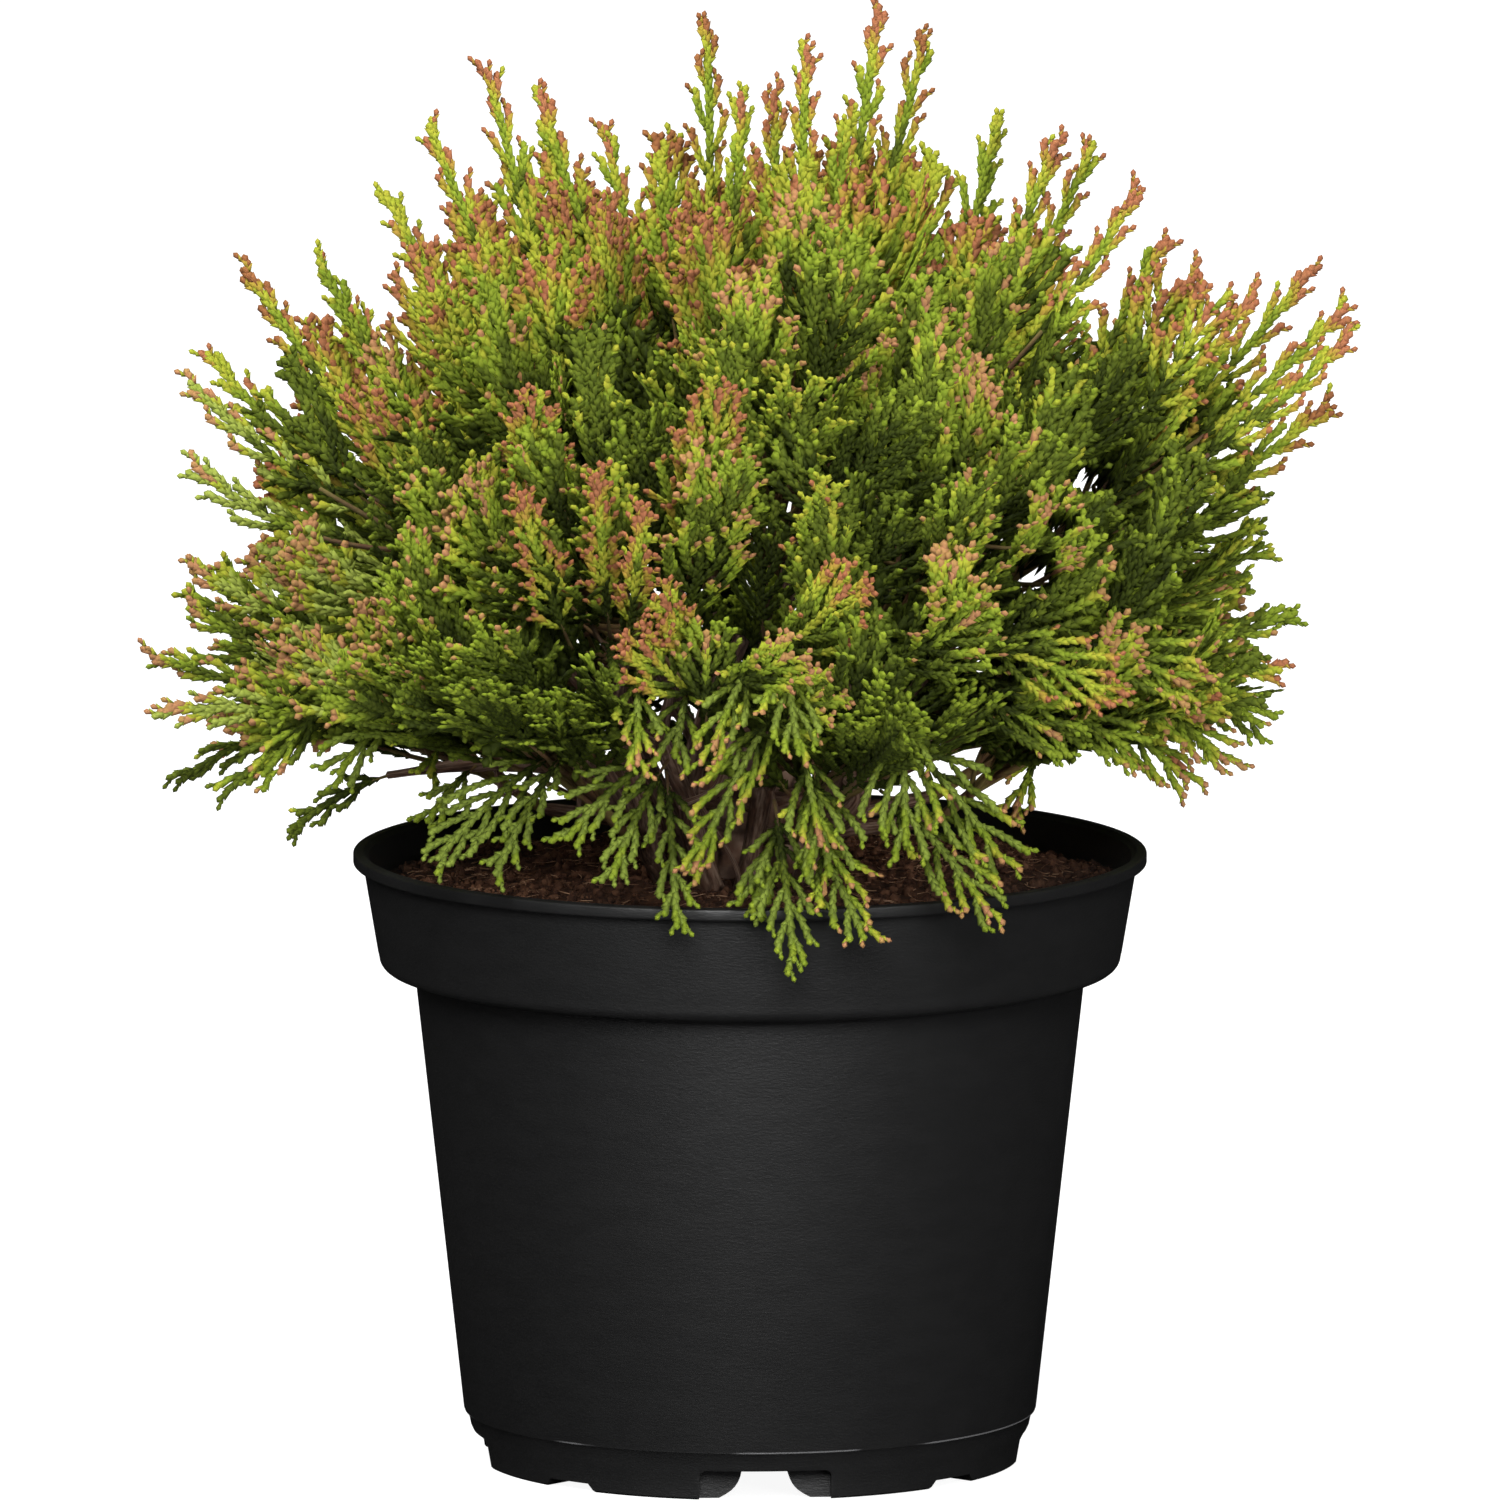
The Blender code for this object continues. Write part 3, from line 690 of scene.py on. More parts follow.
@dataclass(frozen=True)
class SoftLight:
    """A large square lamp that looks at the plant."""

    name: str
    azimuth: float
    elevation: float
    distance: float
    size: float
    power: float
    in_gloss: bool
    in_diffuse: bool = True

    def build(self, aim: Vector) -> None:
        """Hang the lamp and turn it to the point that it lights.

        Args:
            aim: The point that the lamp looks at.
        """
        place = aim + unit(self.azimuth, self.elevation) * self.distance
        bpy.ops.object.light_add(type="AREA", location=place)
        lamp = bpy.context.object
        lamp.name = self.name
        lamp.data.size = self.size
        lamp.data.energy = self.power
        lamp.visible_glossy = self.in_gloss
        lamp.visible_diffuse = self.in_diffuse
        lamp.rotation_euler = (aim - place).to_track_quat("-Z", "Y").to_euler()


@dataclass
class Studio:
    """A pale floor, soft lamps, a white surround and the camera."""

    floor_size: float = 60.0
    camera_distance: float = 8.0
    camera_elevation: float = CAMERA_ELEVATION
    camera_lens: float = 802.5
    floor_roughness: float = 0.9
    floor_bounce: float = 0.36
    floor_in_gloss: float = 0.01
    floor_seen: float = 0.30
    floor_glow: float = 0.93
    sensor_width: float = 36.0
    aim_level: float = AIM_MM * MM
    surround: float = 0.08
    surround_in_gloss: float = 0.006
    lamps: tuple[SoftLight, ...] = (
        SoftLight("sheen", 270.0, 28.0, 3.0, 1.4, 100.0, True, False),
        SoftLight("front", 270.0, 30.0, 3.0, 1.2, 27.0, False),
        SoftLight("left", 208.0, 36.0, 2.6, 0.9, 34.0, False),
        SoftLight("top", 236.0, 66.0, 2.4, 0.8, 50.0, False),
        SoftLight("right", 325.0, 24.0, 2.8, 0.9, 8.0, False),
        SoftLight("low", 302.0, 3.0, 3.0, 0.9, 64.0, False),
        SoftLight("back", 70.0, 30.0, 3.0, 1.4, 45.0, False),
    )

    def build(self) -> None:
        """Build everything that isn't part of the plant."""
        self.build_floor()
        self.build_world()
        aim = Vector((AXIS.x, AXIS.y, self.aim_level))
        for lamp in self.lamps:
            lamp.build(aim)
        self.build_camera(aim)
        bpy.context.scene.view_settings.view_transform = "Standard"
        LOG.info("studio: floor, %d lamps and camera", len(self.lamps))

    def build_floor(self) -> None:
        """Lay the floor, which looks white and throws little light back up."""
        bpy.ops.mesh.primitive_plane_add(size=self.floor_size, location=(0.0, 0.0, 0.0))
        floor = settle(bpy.context.object, "floor")
        material = bpy.data.materials.new("studio_floor")
        material.use_nodes = True
        graph = Graph(material.node_tree)
        rays = graph.node("ShaderNodeLightPath")
        shader = material.node_tree.nodes["Principled BSDF"]
        shader.inputs["Roughness"].default_value = self.floor_roughness
        shader.inputs["Specular IOR Level"].default_value = 0.0
        seen = rays.outputs["Is Camera Ray"]
        lit = graph.mix(rays.outputs["Is Glossy Ray"], grey(self.floor_bounce), grey(self.floor_in_gloss))
        colour = graph.mix(seen, lit, grey(self.floor_seen))
        graph.tree.links.new(colour, shader.inputs["Base Color"])
        shader.inputs["Emission Color"].default_value = grey(1.0)
        glow = graph.maths("MULTIPLY", seen, self.floor_glow)
        graph.tree.links.new(glow, shader.inputs["Emission Strength"])
        floor.data.materials.append(material)

    def build_world(self) -> None:
        """Surround the plant with white that lights it softly and hardly shows in gloss."""
        world = bpy.data.worlds.new("surround")
        bpy.context.scene.world = world
        world.use_nodes = True
        graph = Graph(world.node_tree)
        rays = graph.node("ShaderNodeLightPath")
        dim = graph.mix(rays.outputs["Is Glossy Ray"], grey(self.surround), grey(self.surround_in_gloss))
        shown = graph.mix(rays.outputs["Is Camera Ray"], dim, grey(1.0))
        graph.tree.links.new(shown, world.node_tree.nodes["Background"].inputs["Color"])

    def build_camera(self, aim: Vector) -> None:
        """Stand the camera in front of the plant, a little above it.

        Args:
            aim: The point that the camera looks at.
        """
        place = aim + unit(FRONT, self.camera_elevation) * self.camera_distance
        bpy.ops.object.camera_add(location=place)
        camera = bpy.context.object
        camera.rotation_euler = (aim - place).to_track_quat("-Z", "Y").to_euler()
        camera.data.lens = self.camera_lens
        camera.data.sensor_width = self.sensor_width
        camera.data.clip_end = 10.0 * self.camera_distance
        bpy.context.scene.camera = camera


# Pot and peat


@dataclass
class NurseryPot:
    """The round pot: a thin turned shell on a foot with notches and a cross of channels."""

    height: float = 147.0 * MM
    lip_radius: float = 95.0 * MM
    lip_depth: float = 3.0 * MM
    lip_width: float = 2.75 * MM
    collar_top_radius: float = 92.4 * MM
    collar_foot_radius: float = 88.8 * MM
    collar_foot_level: float = 118.7 * MM
    body_top_radius: float = 80.2 * MM
    body_top_level: float = 117.0 * MM
    body_foot_radius: float = 68.6 * MM
    body_foot_level: float = 12.0 * MM
    foot_top_radius: float = 65.8 * MM
    foot_top_level: float = 5.8 * MM
    foot_radius: float = 64.8 * MM
    floor_level: float = 9.0 * MM
    wall: float = 1.5 * MM
    steps: int = 240
    notch_count: int = 4
    first_notch: float = 273.3
    notch_size: tuple[float, float, float] = (31.5 * MM, 7.3 * MM, 4.5 * MM)
    notch_corner: float = 1.7 * MM
    bell_top: float = 11.0 * MM
    bell_foot: float = 25.5 * MM
    shallow_size: tuple[float, float, float] = (17.0 * MM, 2.0 * MM, 10.0 * MM)
    shallow_slope: float = 2.5 * MM

    def inside(self) -> list[tuple[float, float]]:
        """Return the inner outline from the floor to just under the lip."""
        collar = self.collar_foot_radius - self.wall
        return [
            (self.body_foot_radius - self.wall - 2.0 * MM, self.floor_level),
            (self.body_foot_radius - self.wall, self.floor_level + 2.0 * MM),
            (self.body_top_radius - self.wall, self.body_top_level + self.wall - 0.6 * MM),
            (self.body_top_radius - self.wall + 0.6 * MM, self.body_top_level + self.wall),
            (collar - 2.0 * MM, self.collar_foot_level + self.wall),
            (collar, self.collar_foot_level + self.wall + 2.0 * MM),
            (self.lip_radius - self.lip_width - 0.9 * MM, self.height - 1.2 * MM),
        ]

    def outside(self) -> list[tuple[float, float]]:
        """Return the outer outline from the lip down to the foot."""
        lip = self.lip_radius
        low = self.height - self.lip_depth
        collar = self.collar_foot_radius
        fillet = 3.0 * MM
        points = arc((lip - self.lip_width + 0.45 * MM, self.height - 0.5 * MM), 0.5 * MM, 180.0, 90.0, 3)
        points += [(lip - 1.25 * MM, self.height - 0.1 * MM)]
        points += arc((lip - 0.65 * MM, self.height - 0.75 * MM), 0.65 * MM, 90.0, 0.0, 4)
        points += arc((lip - 0.5 * MM, low + 0.5 * MM), 0.5 * MM, 0.0, -90.0, 3)
        points += arc((self.collar_top_radius + 0.7 * MM, low - 0.7 * MM), 0.7 * MM, 90.0, 180.0, 3)
        points += [(self.collar_top_radius - 0.25 * MM, low - 3.0 * MM)]
        points += [(collar + 0.35 * MM, self.collar_foot_level + fillet + 1.5 * MM)]
        points += arc((collar - fillet, self.collar_foot_level + fillet), fillet, 0.0, -90.0, 6)
        points += [(self.body_top_radius + 1.2 * MM, self.body_top_level + 1.0 * MM)]
        points += [(self.body_top_radius, self.body_top_level)]
        points += [(self.body_foot_radius + 0.05 * MM, self.body_foot_level + 0.4 * MM)]
        points += arc((self.body_foot_radius - 0.3 * MM, self.body_foot_level), 0.2 * MM, 20.0, -70.0, 2)
        ledge = self.body_foot_radius - 1.1 * MM
        points += [(ledge, self.body_foot_level - 1.2 * MM)]
        points += [(ledge - 0.5 * MM, self.body_foot_level - 3.6 * MM)]
        points += [(self.foot_top_radius, self.foot_top_level), (self.foot_radius + 0.1 * MM, 0.5 * MM)]
        points += [(self.foot_radius - 0.4 * MM, 0.0)]
        return points

    def build(self, material: Material) -> None:
        """Turn the pot, cut its foot and finish it.

        Args:
            material: The pot's plastic.
        """
        outline = [(0.0, self.floor_level), *self.inside(), *self.outside(), (0.0, 0.0)]
        pot = lathe("nursery_pot", outline, self.steps)
        step = math.tau / self.notch_count
        first = math.radians(self.first_notch)
        for number in range(self.notch_count):
            turn = first + step * number
            self.cut(pot, self.notch_cutter(), turn)
            self.cut(pot, self.shallow_cutter(), turn + step / 2)
            if number < self.notch_count / 2:
                self.cut(pot, self.channel_cutter(), turn)
        activate(pot)
        bpy.ops.object.shade_smooth_by_angle(angle=math.radians(32.0))
        finish_piece(pot, material, ["pot"])

    def cut(self, pot: Object, cutter: Object, turn: float) -> None:
        """Cut the pot with a cutter that is turned about the pot's axis first.

        Args:
            pot: The pot.
            cutter: A cutter that runs along +X from the pot's axis; it is removed.
            turn: The angle in radians.
        """
        cutter.data.transform(Matrix.Translation(AXIS) @ Matrix.Rotation(turn, 4, "Z"))
        activate(pot)
        cut = pot.modifiers.new("cut", "BOOLEAN")
        cut.operation = "DIFFERENCE"
        cut.solver = "EXACT"
        cut.object = cutter
        bpy.ops.object.modifier_apply(modifier=cut.name)
        bpy.data.objects.remove(cutter)

    def block(self, inner: float, width: float, height: float) -> Object:
        """Return a block along +X that reaches past the pot's side and under its foot.

        Args:
            inner: Where the block starts along X.
            width: The block's width.
            height: The block's height above the ground.

        Returns:
            The block.
        """
        outer = self.lip_radius
        below = 1.0 * MM
        place = ((inner + outer) / 2, 0.0, (height - below) / 2)
        bpy.ops.mesh.primitive_cube_add(size=1.0, location=place)
        item = bpy.context.object
        item.scale = (outer - inner, width, height + below)
        return settle(item, "cutter")

    def notch_cutter(self) -> Object:
        """Return the cutter of a deep notch, with its two upper edges rounded."""
        width, height, depth = self.notch_size
        item = self.block(self.foot_radius - depth, width, height)
        self.pick_edges(item, lambda a, b: min(a.z, b.z) > height - 0.1 * MM and abs(a.y - b.y) < 0.1 * MM)
        with self.picked(item):
            bpy.ops.mesh.bevel(offset=self.notch_corner, segments=4, affect="EDGES")
        return item

    def shallow_cutter(self) -> Object:
        """Return the cutter of a shallow notch, narrower at its top."""
        width, height, depth = self.shallow_size
        item = self.block(self.foot_radius - depth, width, height)
        narrow = (width - 2.0 * self.shallow_slope) / width
        self.squeeze(item, lambda z: narrow if z > height - 0.1 * MM else 1.0)
        return item

    def channel_cutter(self) -> Object:
        """Return the cutter of a drain channel, with the section of a bell."""
        height = self.notch_size[1] - 0.2 * MM
        item = self.block(-self.lip_radius, self.bell_foot, height)
        with editing(item):
            for number in range(1, 8):
                level = height * number / 8
                bpy.ops.mesh.select_all(action="SELECT")
                bpy.ops.mesh.bisect(plane_co=(0.0, 0.0, level), plane_no=UP)
        narrow = self.bell_top / self.bell_foot

        def width_at(z: float) -> float:
            """Return the channel's width at a level as a share of its width at the foot."""
            share = min(1.0, max(0.0, z / height))
            return narrow + (1.0 - narrow) * (1.0 - math.sqrt(1.0 - (1.0 - share) ** 2))

        self.squeeze(item, width_at)
        return item

    @staticmethod
    def squeeze(item: Object, width_at) -> None:
        """Scale a block's width level by level.

        Args:
            item: The block.
            width_at: A function that gives the scale of the width at a level.
        """
        for corner in item.data.vertices:
            corner.co.y *= width_at(corner.co.z)

    @staticmethod
    def pick_edges(item: Object, wanted) -> None:
        """Select the edges of a mesh by the places of their ends.

        Args:
            item: The object.
            wanted: A function of an edge's two end points that tells whether to select it.
        """
        corners = item.data.vertices
        for part in (item.data.polygons, corners):
            part.foreach_set("select", [False] * len(part))
        for edge in item.data.edges:
            edge.select = wanted(*(corners[number].co for number in edge.vertices))

    @staticmethod
    @contextmanager
    def picked(item: Object) -> Iterator[None]:
        """Edit an object with the edges that were selected before.

        Args:
            item: The object.

        Yields:
            Nothing, while the object is in edit mode.
        """
        activate(item)
        bpy.ops.object.mode_set(mode="EDIT")
        bpy.ops.mesh.select_mode(type="EDGE")
        yield
        bpy.ops.mesh.select_mode(type="VERT")
        bpy.ops.object.mode_set(mode="OBJECT")


class Ripples:
    """Smooth seeded noise on a grid of numbers that repeats in both directions."""

    def __init__(self, seed: int, rows: int, columns: int) -> None:
        """Draw the numbers of the grid."""
        self.grid = np.random.default_rng(seed).uniform(-1.0, 1.0, (rows, columns))

    def at(self, down: Array, across: Array) -> Array:
        """Read the noise between its grid's points.

        Args:
            down: Places counted in rows.
            across: Places counted in columns.

        Returns:
            The values, each between -1 and 1.
        """
        rows, columns = self.grid.shape
        row = np.floor(down).astype(int)
        column = np.floor(across).astype(int)
        v = down - row
        u = across - column
        v = v * v * (3.0 - 2.0 * v)
        u = u * u * (3.0 - 2.0 * u)
        left = column % columns
        right = (column + 1) % columns
        near, far = (
            self.grid[line % rows, left] * (1 - u) + self.grid[line % rows, right] * u
            for line in (row, row + 1)
        )
        return near * (1 - v) + far * v


@dataclass
class PeatFill:
    """The peat in the pot: an uneven surface, crumbs and pale fibres on it."""

    pot: NurseryPot
    wall_level: float = 138.5 * MM
    middle_level: float = 142.0 * MM
    gap: float = 0.3 * MM
    ring: float = 1.0 * MM
    steps: int = 360
    ripple_sizes: tuple[float, ...] = (26.0 * MM, 10.0 * MM, 4.5 * MM, 2.2 * MM)
    ripple_heights: tuple[float, ...] = (0.9 * MM, 0.55 * MM, 0.55 * MM, 0.4 * MM)
    mound_place: tuple[float, float] = (66.0 * MM, 8.0 * MM)
    mound_height: float = 2.4 * MM
    mound_spread: float = 20.0 * MM
    crumbs: int = 5200
    crumb_sizes: tuple[float, float] = (0.45 * MM, 1.6 * MM)
    fibres: int = 900

    def edge_radius(self) -> float:
        """Return the peat's radius where its surface meets the pot's wall."""
        low, high = self.pot.inside()[-2:]
        share = (self.wall_level - low[1]) / (high[1] - low[1])
        return low[0] + share * (high[0] - low[0]) - self.gap

    def height_at(self, x: Array, y: Array) -> Array:
        """Return the surface's level at places given from the pot's axis.

        Args:
            x: Distances to the right.
            y: Distances to the back.

        Returns:
            The levels.
        """
        share = np.hypot(x, y) / self.edge_radius()
        level = self.middle_level - (self.middle_level - self.wall_level) * share**2
        away = np.hypot(x - self.mound_place[0], y - self.mound_place[1]) / self.mound_spread
        level = level + self.mound_height * np.exp(-(away**2))
        for number, (size, height) in enumerate(zip(self.ripple_sizes, self.ripple_heights)):
            level = level + height * Ripples(number, 97, 89).at(x / size, y / size)
        return level

    def build(self, soil: Material, crumb: Material, fibre: Material) -> None:
        """Build the surface, the crumbs and the fibres.

        Args:
            soil: The surface's material.
            crumb: The crumbs' material.
            fibre: The fibres' material.
        """
        edge = self.edge_radius()
        rings = int(edge / self.ring)
        outline = [(0.0, self.middle_level)]
        outline += [(edge * number / rings, self.middle_level) for number in range(1, rings + 1)]
        outline += [(r - self.gap, z + self.gap) for r, z in reversed(self.pot.inside()[:-1])]
        outline += [(0.0, self.pot.floor_level + self.gap)]
        peat = lathe("peat_fill", outline, self.steps)
        count = len(peat.data.vertices)
        points = np.empty(count * 3)
        peat.data.vertices.foreach_get("co", points)
        points = points.reshape(-1, 3)
        top = points[:, 2] > self.middle_level - 0.01 * MM
        x = points[top, 0] - AXIS.x
        y = points[top, 1] - AXIS.y
        points[top, 2] = self.height_at(x, y)
        peat.data.vertices.foreach_set("co", points.ravel())
        peat.data.update()
        activate(peat)
        bpy.ops.object.shade_smooth_by_angle(angle=math.radians(60.0))
        finish_piece(peat, soil, ["peat"])
        self.build_crumbs(crumb, edge)
        self.build_fibres(fibre, edge)

    def build_crumbs(self, material: Material, edge: float) -> None:
        """Scatter crumbs of peat over the surface as one mesh.

        Args:
            material: The crumbs' material.
            edge: The radius that they stay inside.
        """
        draw = np.random.default_rng(41)
        corners, faces = rough_lump()
        radius = np.sqrt(draw.uniform(0.015, 1.0, self.crumbs)) * (edge - 1.6 * MM)
        turn = draw.uniform(0.0, math.tau, self.crumbs)
        x = radius * np.cos(turn)
        y = radius * np.sin(turn)
        small, large = self.crumb_sizes
        size = small + (large - small) * draw.uniform(0.0, 1.0, self.crumbs) ** 3
        shapes = corners[None] * draw.uniform(0.65, 1.35, (self.crumbs, len(corners), 1))
        shapes = shapes * draw.uniform(0.6, 1.2, (self.crumbs, 1, 3)) * size[:, None, None]
        swing = draw.uniform(0.0, math.tau, self.crumbs)
        cos = np.cos(swing)[:, None]
        sin = np.sin(swing)[:, None]
        points = np.stack(
            [
                shapes[:, :, 0] * cos - shapes[:, :, 1] * sin + (AXIS.x + x)[:, None],
                shapes[:, :, 0] * sin + shapes[:, :, 1] * cos + (AXIS.y + y)[:, None],
                shapes[:, :, 2] + (self.height_at(x, y) + size * 0.25)[:, None],
            ],
            axis=2,
        )
        numbers = faces[None] + (np.arange(self.crumbs) * len(corners))[:, None, None]
        item = mesh_object("peat_crumbs", points.reshape(-1, 3), numbers.reshape(-1, 3))
        finish_piece(item, material, [])

    def build_fibres(self, material: Material, edge: float) -> None:
        """Lay short curved fibres on the surface as one mesh.

        Args:
            material: The fibres' material.
            edge: The radius that they stay inside.
        """
        draw = np.random.default_rng(43)
        tubes = TubeBank()
        for _ in range(self.fibres):
            radius = math.sqrt(draw.uniform(0.02, 1.0)) * (edge - 5.0 * MM)
            turn = draw.uniform(0.0, math.tau)
            heading = draw.uniform(0.0, math.tau)
            length = draw.uniform(2.0, 7.0) * MM
            bend = draw.uniform(-1.2, 1.2)
            steps = np.linspace(-0.5, 0.5, 6)
            along = length * steps
            aside = bend * length * steps**2
            x = radius * math.cos(turn) + along * math.cos(heading) - aside * math.sin(heading)
            y = radius * math.sin(turn) + along * math.sin(heading) + aside * math.cos(heading)
            z = self.height_at(x, y) + draw.uniform(0.1, 0.9) * MM
            line = np.stack([AXIS.x + x, AXIS.y + y, z], axis=1)
            tubes.add(line, np.full(6, draw.uniform(0.06, 0.17) * MM), 3)
        item = tubes.join("peat_fibres")
        finish_piece(item, material, [])


def rough_lump() -> tuple[Array, Array]:
    """Return the corners and triangles of a lump of 20 faces, one unit in radius."""
    bpy.ops.mesh.primitive_ico_sphere_add(subdivisions=1, radius=1.0)
    item = bpy.context.object
    corners = np.array([corner.co[:] for corner in item.data.vertices])
    faces = np.array([face.vertices[:] for face in item.data.polygons])
    bpy.data.objects.remove(item)
    return corners, faces


# Limbs


def run_along(line: Array) -> Array:
    """Return the distance along a line at each of its points."""
    return np.concatenate([[0.0], np.cumsum(np.linalg.norm(np.diff(line, axis=0), axis=1))])


class TubeBank:
    """Collects tubes along bent lines and joins them into one mesh with a UV map."""

    def __init__(self) -> None:
        """Start with no tubes."""
        self.points: list[Array] = []
        self.faces: list[Array] = []
        self.maps: list[Array] = []
        self.count = 0

    def add(self, line: Array, radii: Array, sides: int, relief: Array | None = None) -> None:
        """Add a closed tube.

        Args:
            line: The points that the tube follows, one row each.
            radii: The tube's radius at each point.
            sides: The number of sides.
            relief: Shares of the radius to add, for each point and side.
        """
        ahead = np.gradient(line, axis=0)
        ahead /= np.linalg.norm(ahead, axis=1)[:, None]
        side = np.array((0.0, 1.0, -0.5))
        across = np.empty_like(line)
        for number, direction in enumerate(ahead):
            side = side - direction * (side @ direction)
            side = side / np.linalg.norm(side)
            across[number] = side
        other = np.cross(ahead, across)
        turns = np.arange(sides) * (math.tau / sides)
        reach = radii[:, None] * (1.0 if relief is None else 1.0 + relief)
        cos = np.cos(turns)[None, :, None]
        sin = np.sin(turns)[None, :, None]
        ring = reach[:, :, None] * (across[:, None, :] * cos + other[:, None, :] * sin)
        body = (line[:, None, :] + ring).reshape(-1, 3)
        rows = len(line)
        first = np.arange(rows - 1)[:, None] * sides + np.arange(sides)[None, :]
        beside = np.arange(rows - 1)[:, None] * sides + (np.arange(sides)[None, :] + 1) % sides
        quads = np.stack([first, beside, beside + sides, first + sides], axis=2).reshape(-1, 4)
        triangles = np.concatenate([quads[:, [0, 1, 2]], quads[:, [0, 2, 3]]])
        wheel = np.arange(sides)
        beside_wheel = (wheel + 1) % sides
        foot = np.stack([np.full(sides, rows * sides), beside_wheel, wheel], axis=1)
        top = (rows - 1) * sides
        head = np.stack([np.full(sides, rows * sides + 1), top + wheel, top + beside_wheel], axis=1)
        tip = line[-1] + ahead[-1] * radii[-1] * 0.6
        self.points.append(np.concatenate([body, line[:1], tip[None]]))
        self.faces.append(np.concatenate([triangles, foot, head]) + self.count)
        run = run_along(line)
        places = np.stack(np.broadcast_arrays(run[:, None], np.arange(sides)[None, :] / sides), axis=2)
        ends = np.array([[0.0, 0.5], [run[-1], 0.5]])
        self.maps.append(np.concatenate([places.reshape(-1, 2), ends]))
        self.count += len(body) + 2

    def join(self, name: str) -> Object:
        """Join the tubes.

        Args:
            name: The name of the new object.

        Returns:
            The object, shaded smooth, with a map of run along the tube and share round it.
        """
        faces = np.concatenate(self.faces)
        item = mesh_object(name, np.concatenate(self.points), faces)
        layer = item.data.uv_layers.new(name="bark")
        places = np.concatenate(self.maps)[faces.ravel()]
        wrapped = places.reshape(-1, 3, 2)
        seam = wrapped[:, :, 1].max(axis=1) - wrapped[:, :, 1].min(axis=1) > 0.5
        low = wrapped[:, :, 1] < 0.5
        wrapped[:, :, 1] += (seam[:, None] & low).astype(float)
        layer.data.foreach_set("uv", wrapped.reshape(-1).astype(np.float32))
        item.data.shade_smooth()
        return item


def curve_points(start: Vector, handle: Vector, end: Vector, count: int) -> Array:
    """Return points of a curve with one handle as rows."""
    return np.array([bezier(start, handle, end, step / (count - 1))[:] for step in range(count)])


def bark_relief(run: Array, sides: int, seed: int, strips: int, depth: float) -> Array:
    """Return the relief of stringy bark on a tube.

    Args:
        run: The distance along the limb at each ring.
        sides: The number of sides of the tube.
        seed: The seed of the pattern.
        strips: The number of strips round the limb.
        depth: The relief as a share of the radius.

    Returns:
        Shares of the radius, for each ring and side.
    """
    around = np.arange(sides) / sides
    down, across = np.meshgrid(run, around, indexing="ij")
    drift = 0.35 * np.sin(down / (9.0 * MM) + seed)
    broad = Ripples(seed, 61, strips).at(down / (13.0 * MM), across * strips + drift)
    fine = Ripples(seed + 1, 67, strips * 3).at(down / (5.0 * MM), across * strips * 3 + drift)
    return depth * (0.65 * broad + 0.35 * fine)


# Crown


@dataclass(frozen=True)
class Tier:
    """A ring of boughs and their masses at one elevation of the crown, in degrees."""

    name: str
    count: int
    first_azimuth: float
    elevation: float
    bough_level: float
    fork_ring: float
    bough_radius: float
    droop: float
    sprays: int


@dataclass(frozen=True)
class Lump:
    """A place where the crown reaches further, or less far, than its plain dome."""

    azimuth: float
    elevation: float
    extra: float
    spread: float


@dataclass
class Mass:
    """One mass of foliage: its tier, its direction and its neighbours' directions."""

    name: str
    tier: Tier
    azimuth: float
    axis: Vector
    neighbours: list[Vector] = field(default_factory=list)

    def cell_angle(self, side: Vector, widest: float) -> float:
        """Return how far the mass's space reaches from its axis towards one side.

        Args:
            side: A unit direction square to the mass's axis.
            widest: The largest angle in radians.

        Returns:
            The angle in radians.
        """
        limit = widest
        for other in self.neighbours:
            across = side.dot(other)
            if across > 0:
                limit = min(limit, math.atan2(1.0 - self.axis.dot(other), across))
        return limit


@dataclass(frozen=True)
class Hem:
    """The crown's lower edge, which slopes down to the back and rises at both sides of the pot."""

    level: float = 168.0 * MM
    slope: float = 0.148
    rises: tuple[tuple[float, float, float], ...] = (
        (-74.0 * MM, 26.0 * MM, 12.0 * MM),
        (90.0 * MM, 38.0 * MM, 11.0 * MM),
    )

    def at(self, x: float, y: float) -> float:
        """Return the edge's level.

        Args:
            x: How far to the right of the pot's axis.
            y: How far behind it.

        Returns:
            The level.
        """
        return self.level - self.slope * y + sum(
            rise * math.exp(-(((x - middle) / spread) ** 2)) for middle, spread, rise in self.rises
        )

    def lift(self, point: Vector, over: float) -> Vector:
        """Return a point, raised to a distance over the edge where it lies below that.

        Args:
            point: The point.
            over: The distance.

        Returns:
            The point, or a higher one.
        """
        return Vector((point.x, point.y, max(point.z, self.at(point.x - AXIS.x, point.y - AXIS.y) + over)))


HEM = Hem()


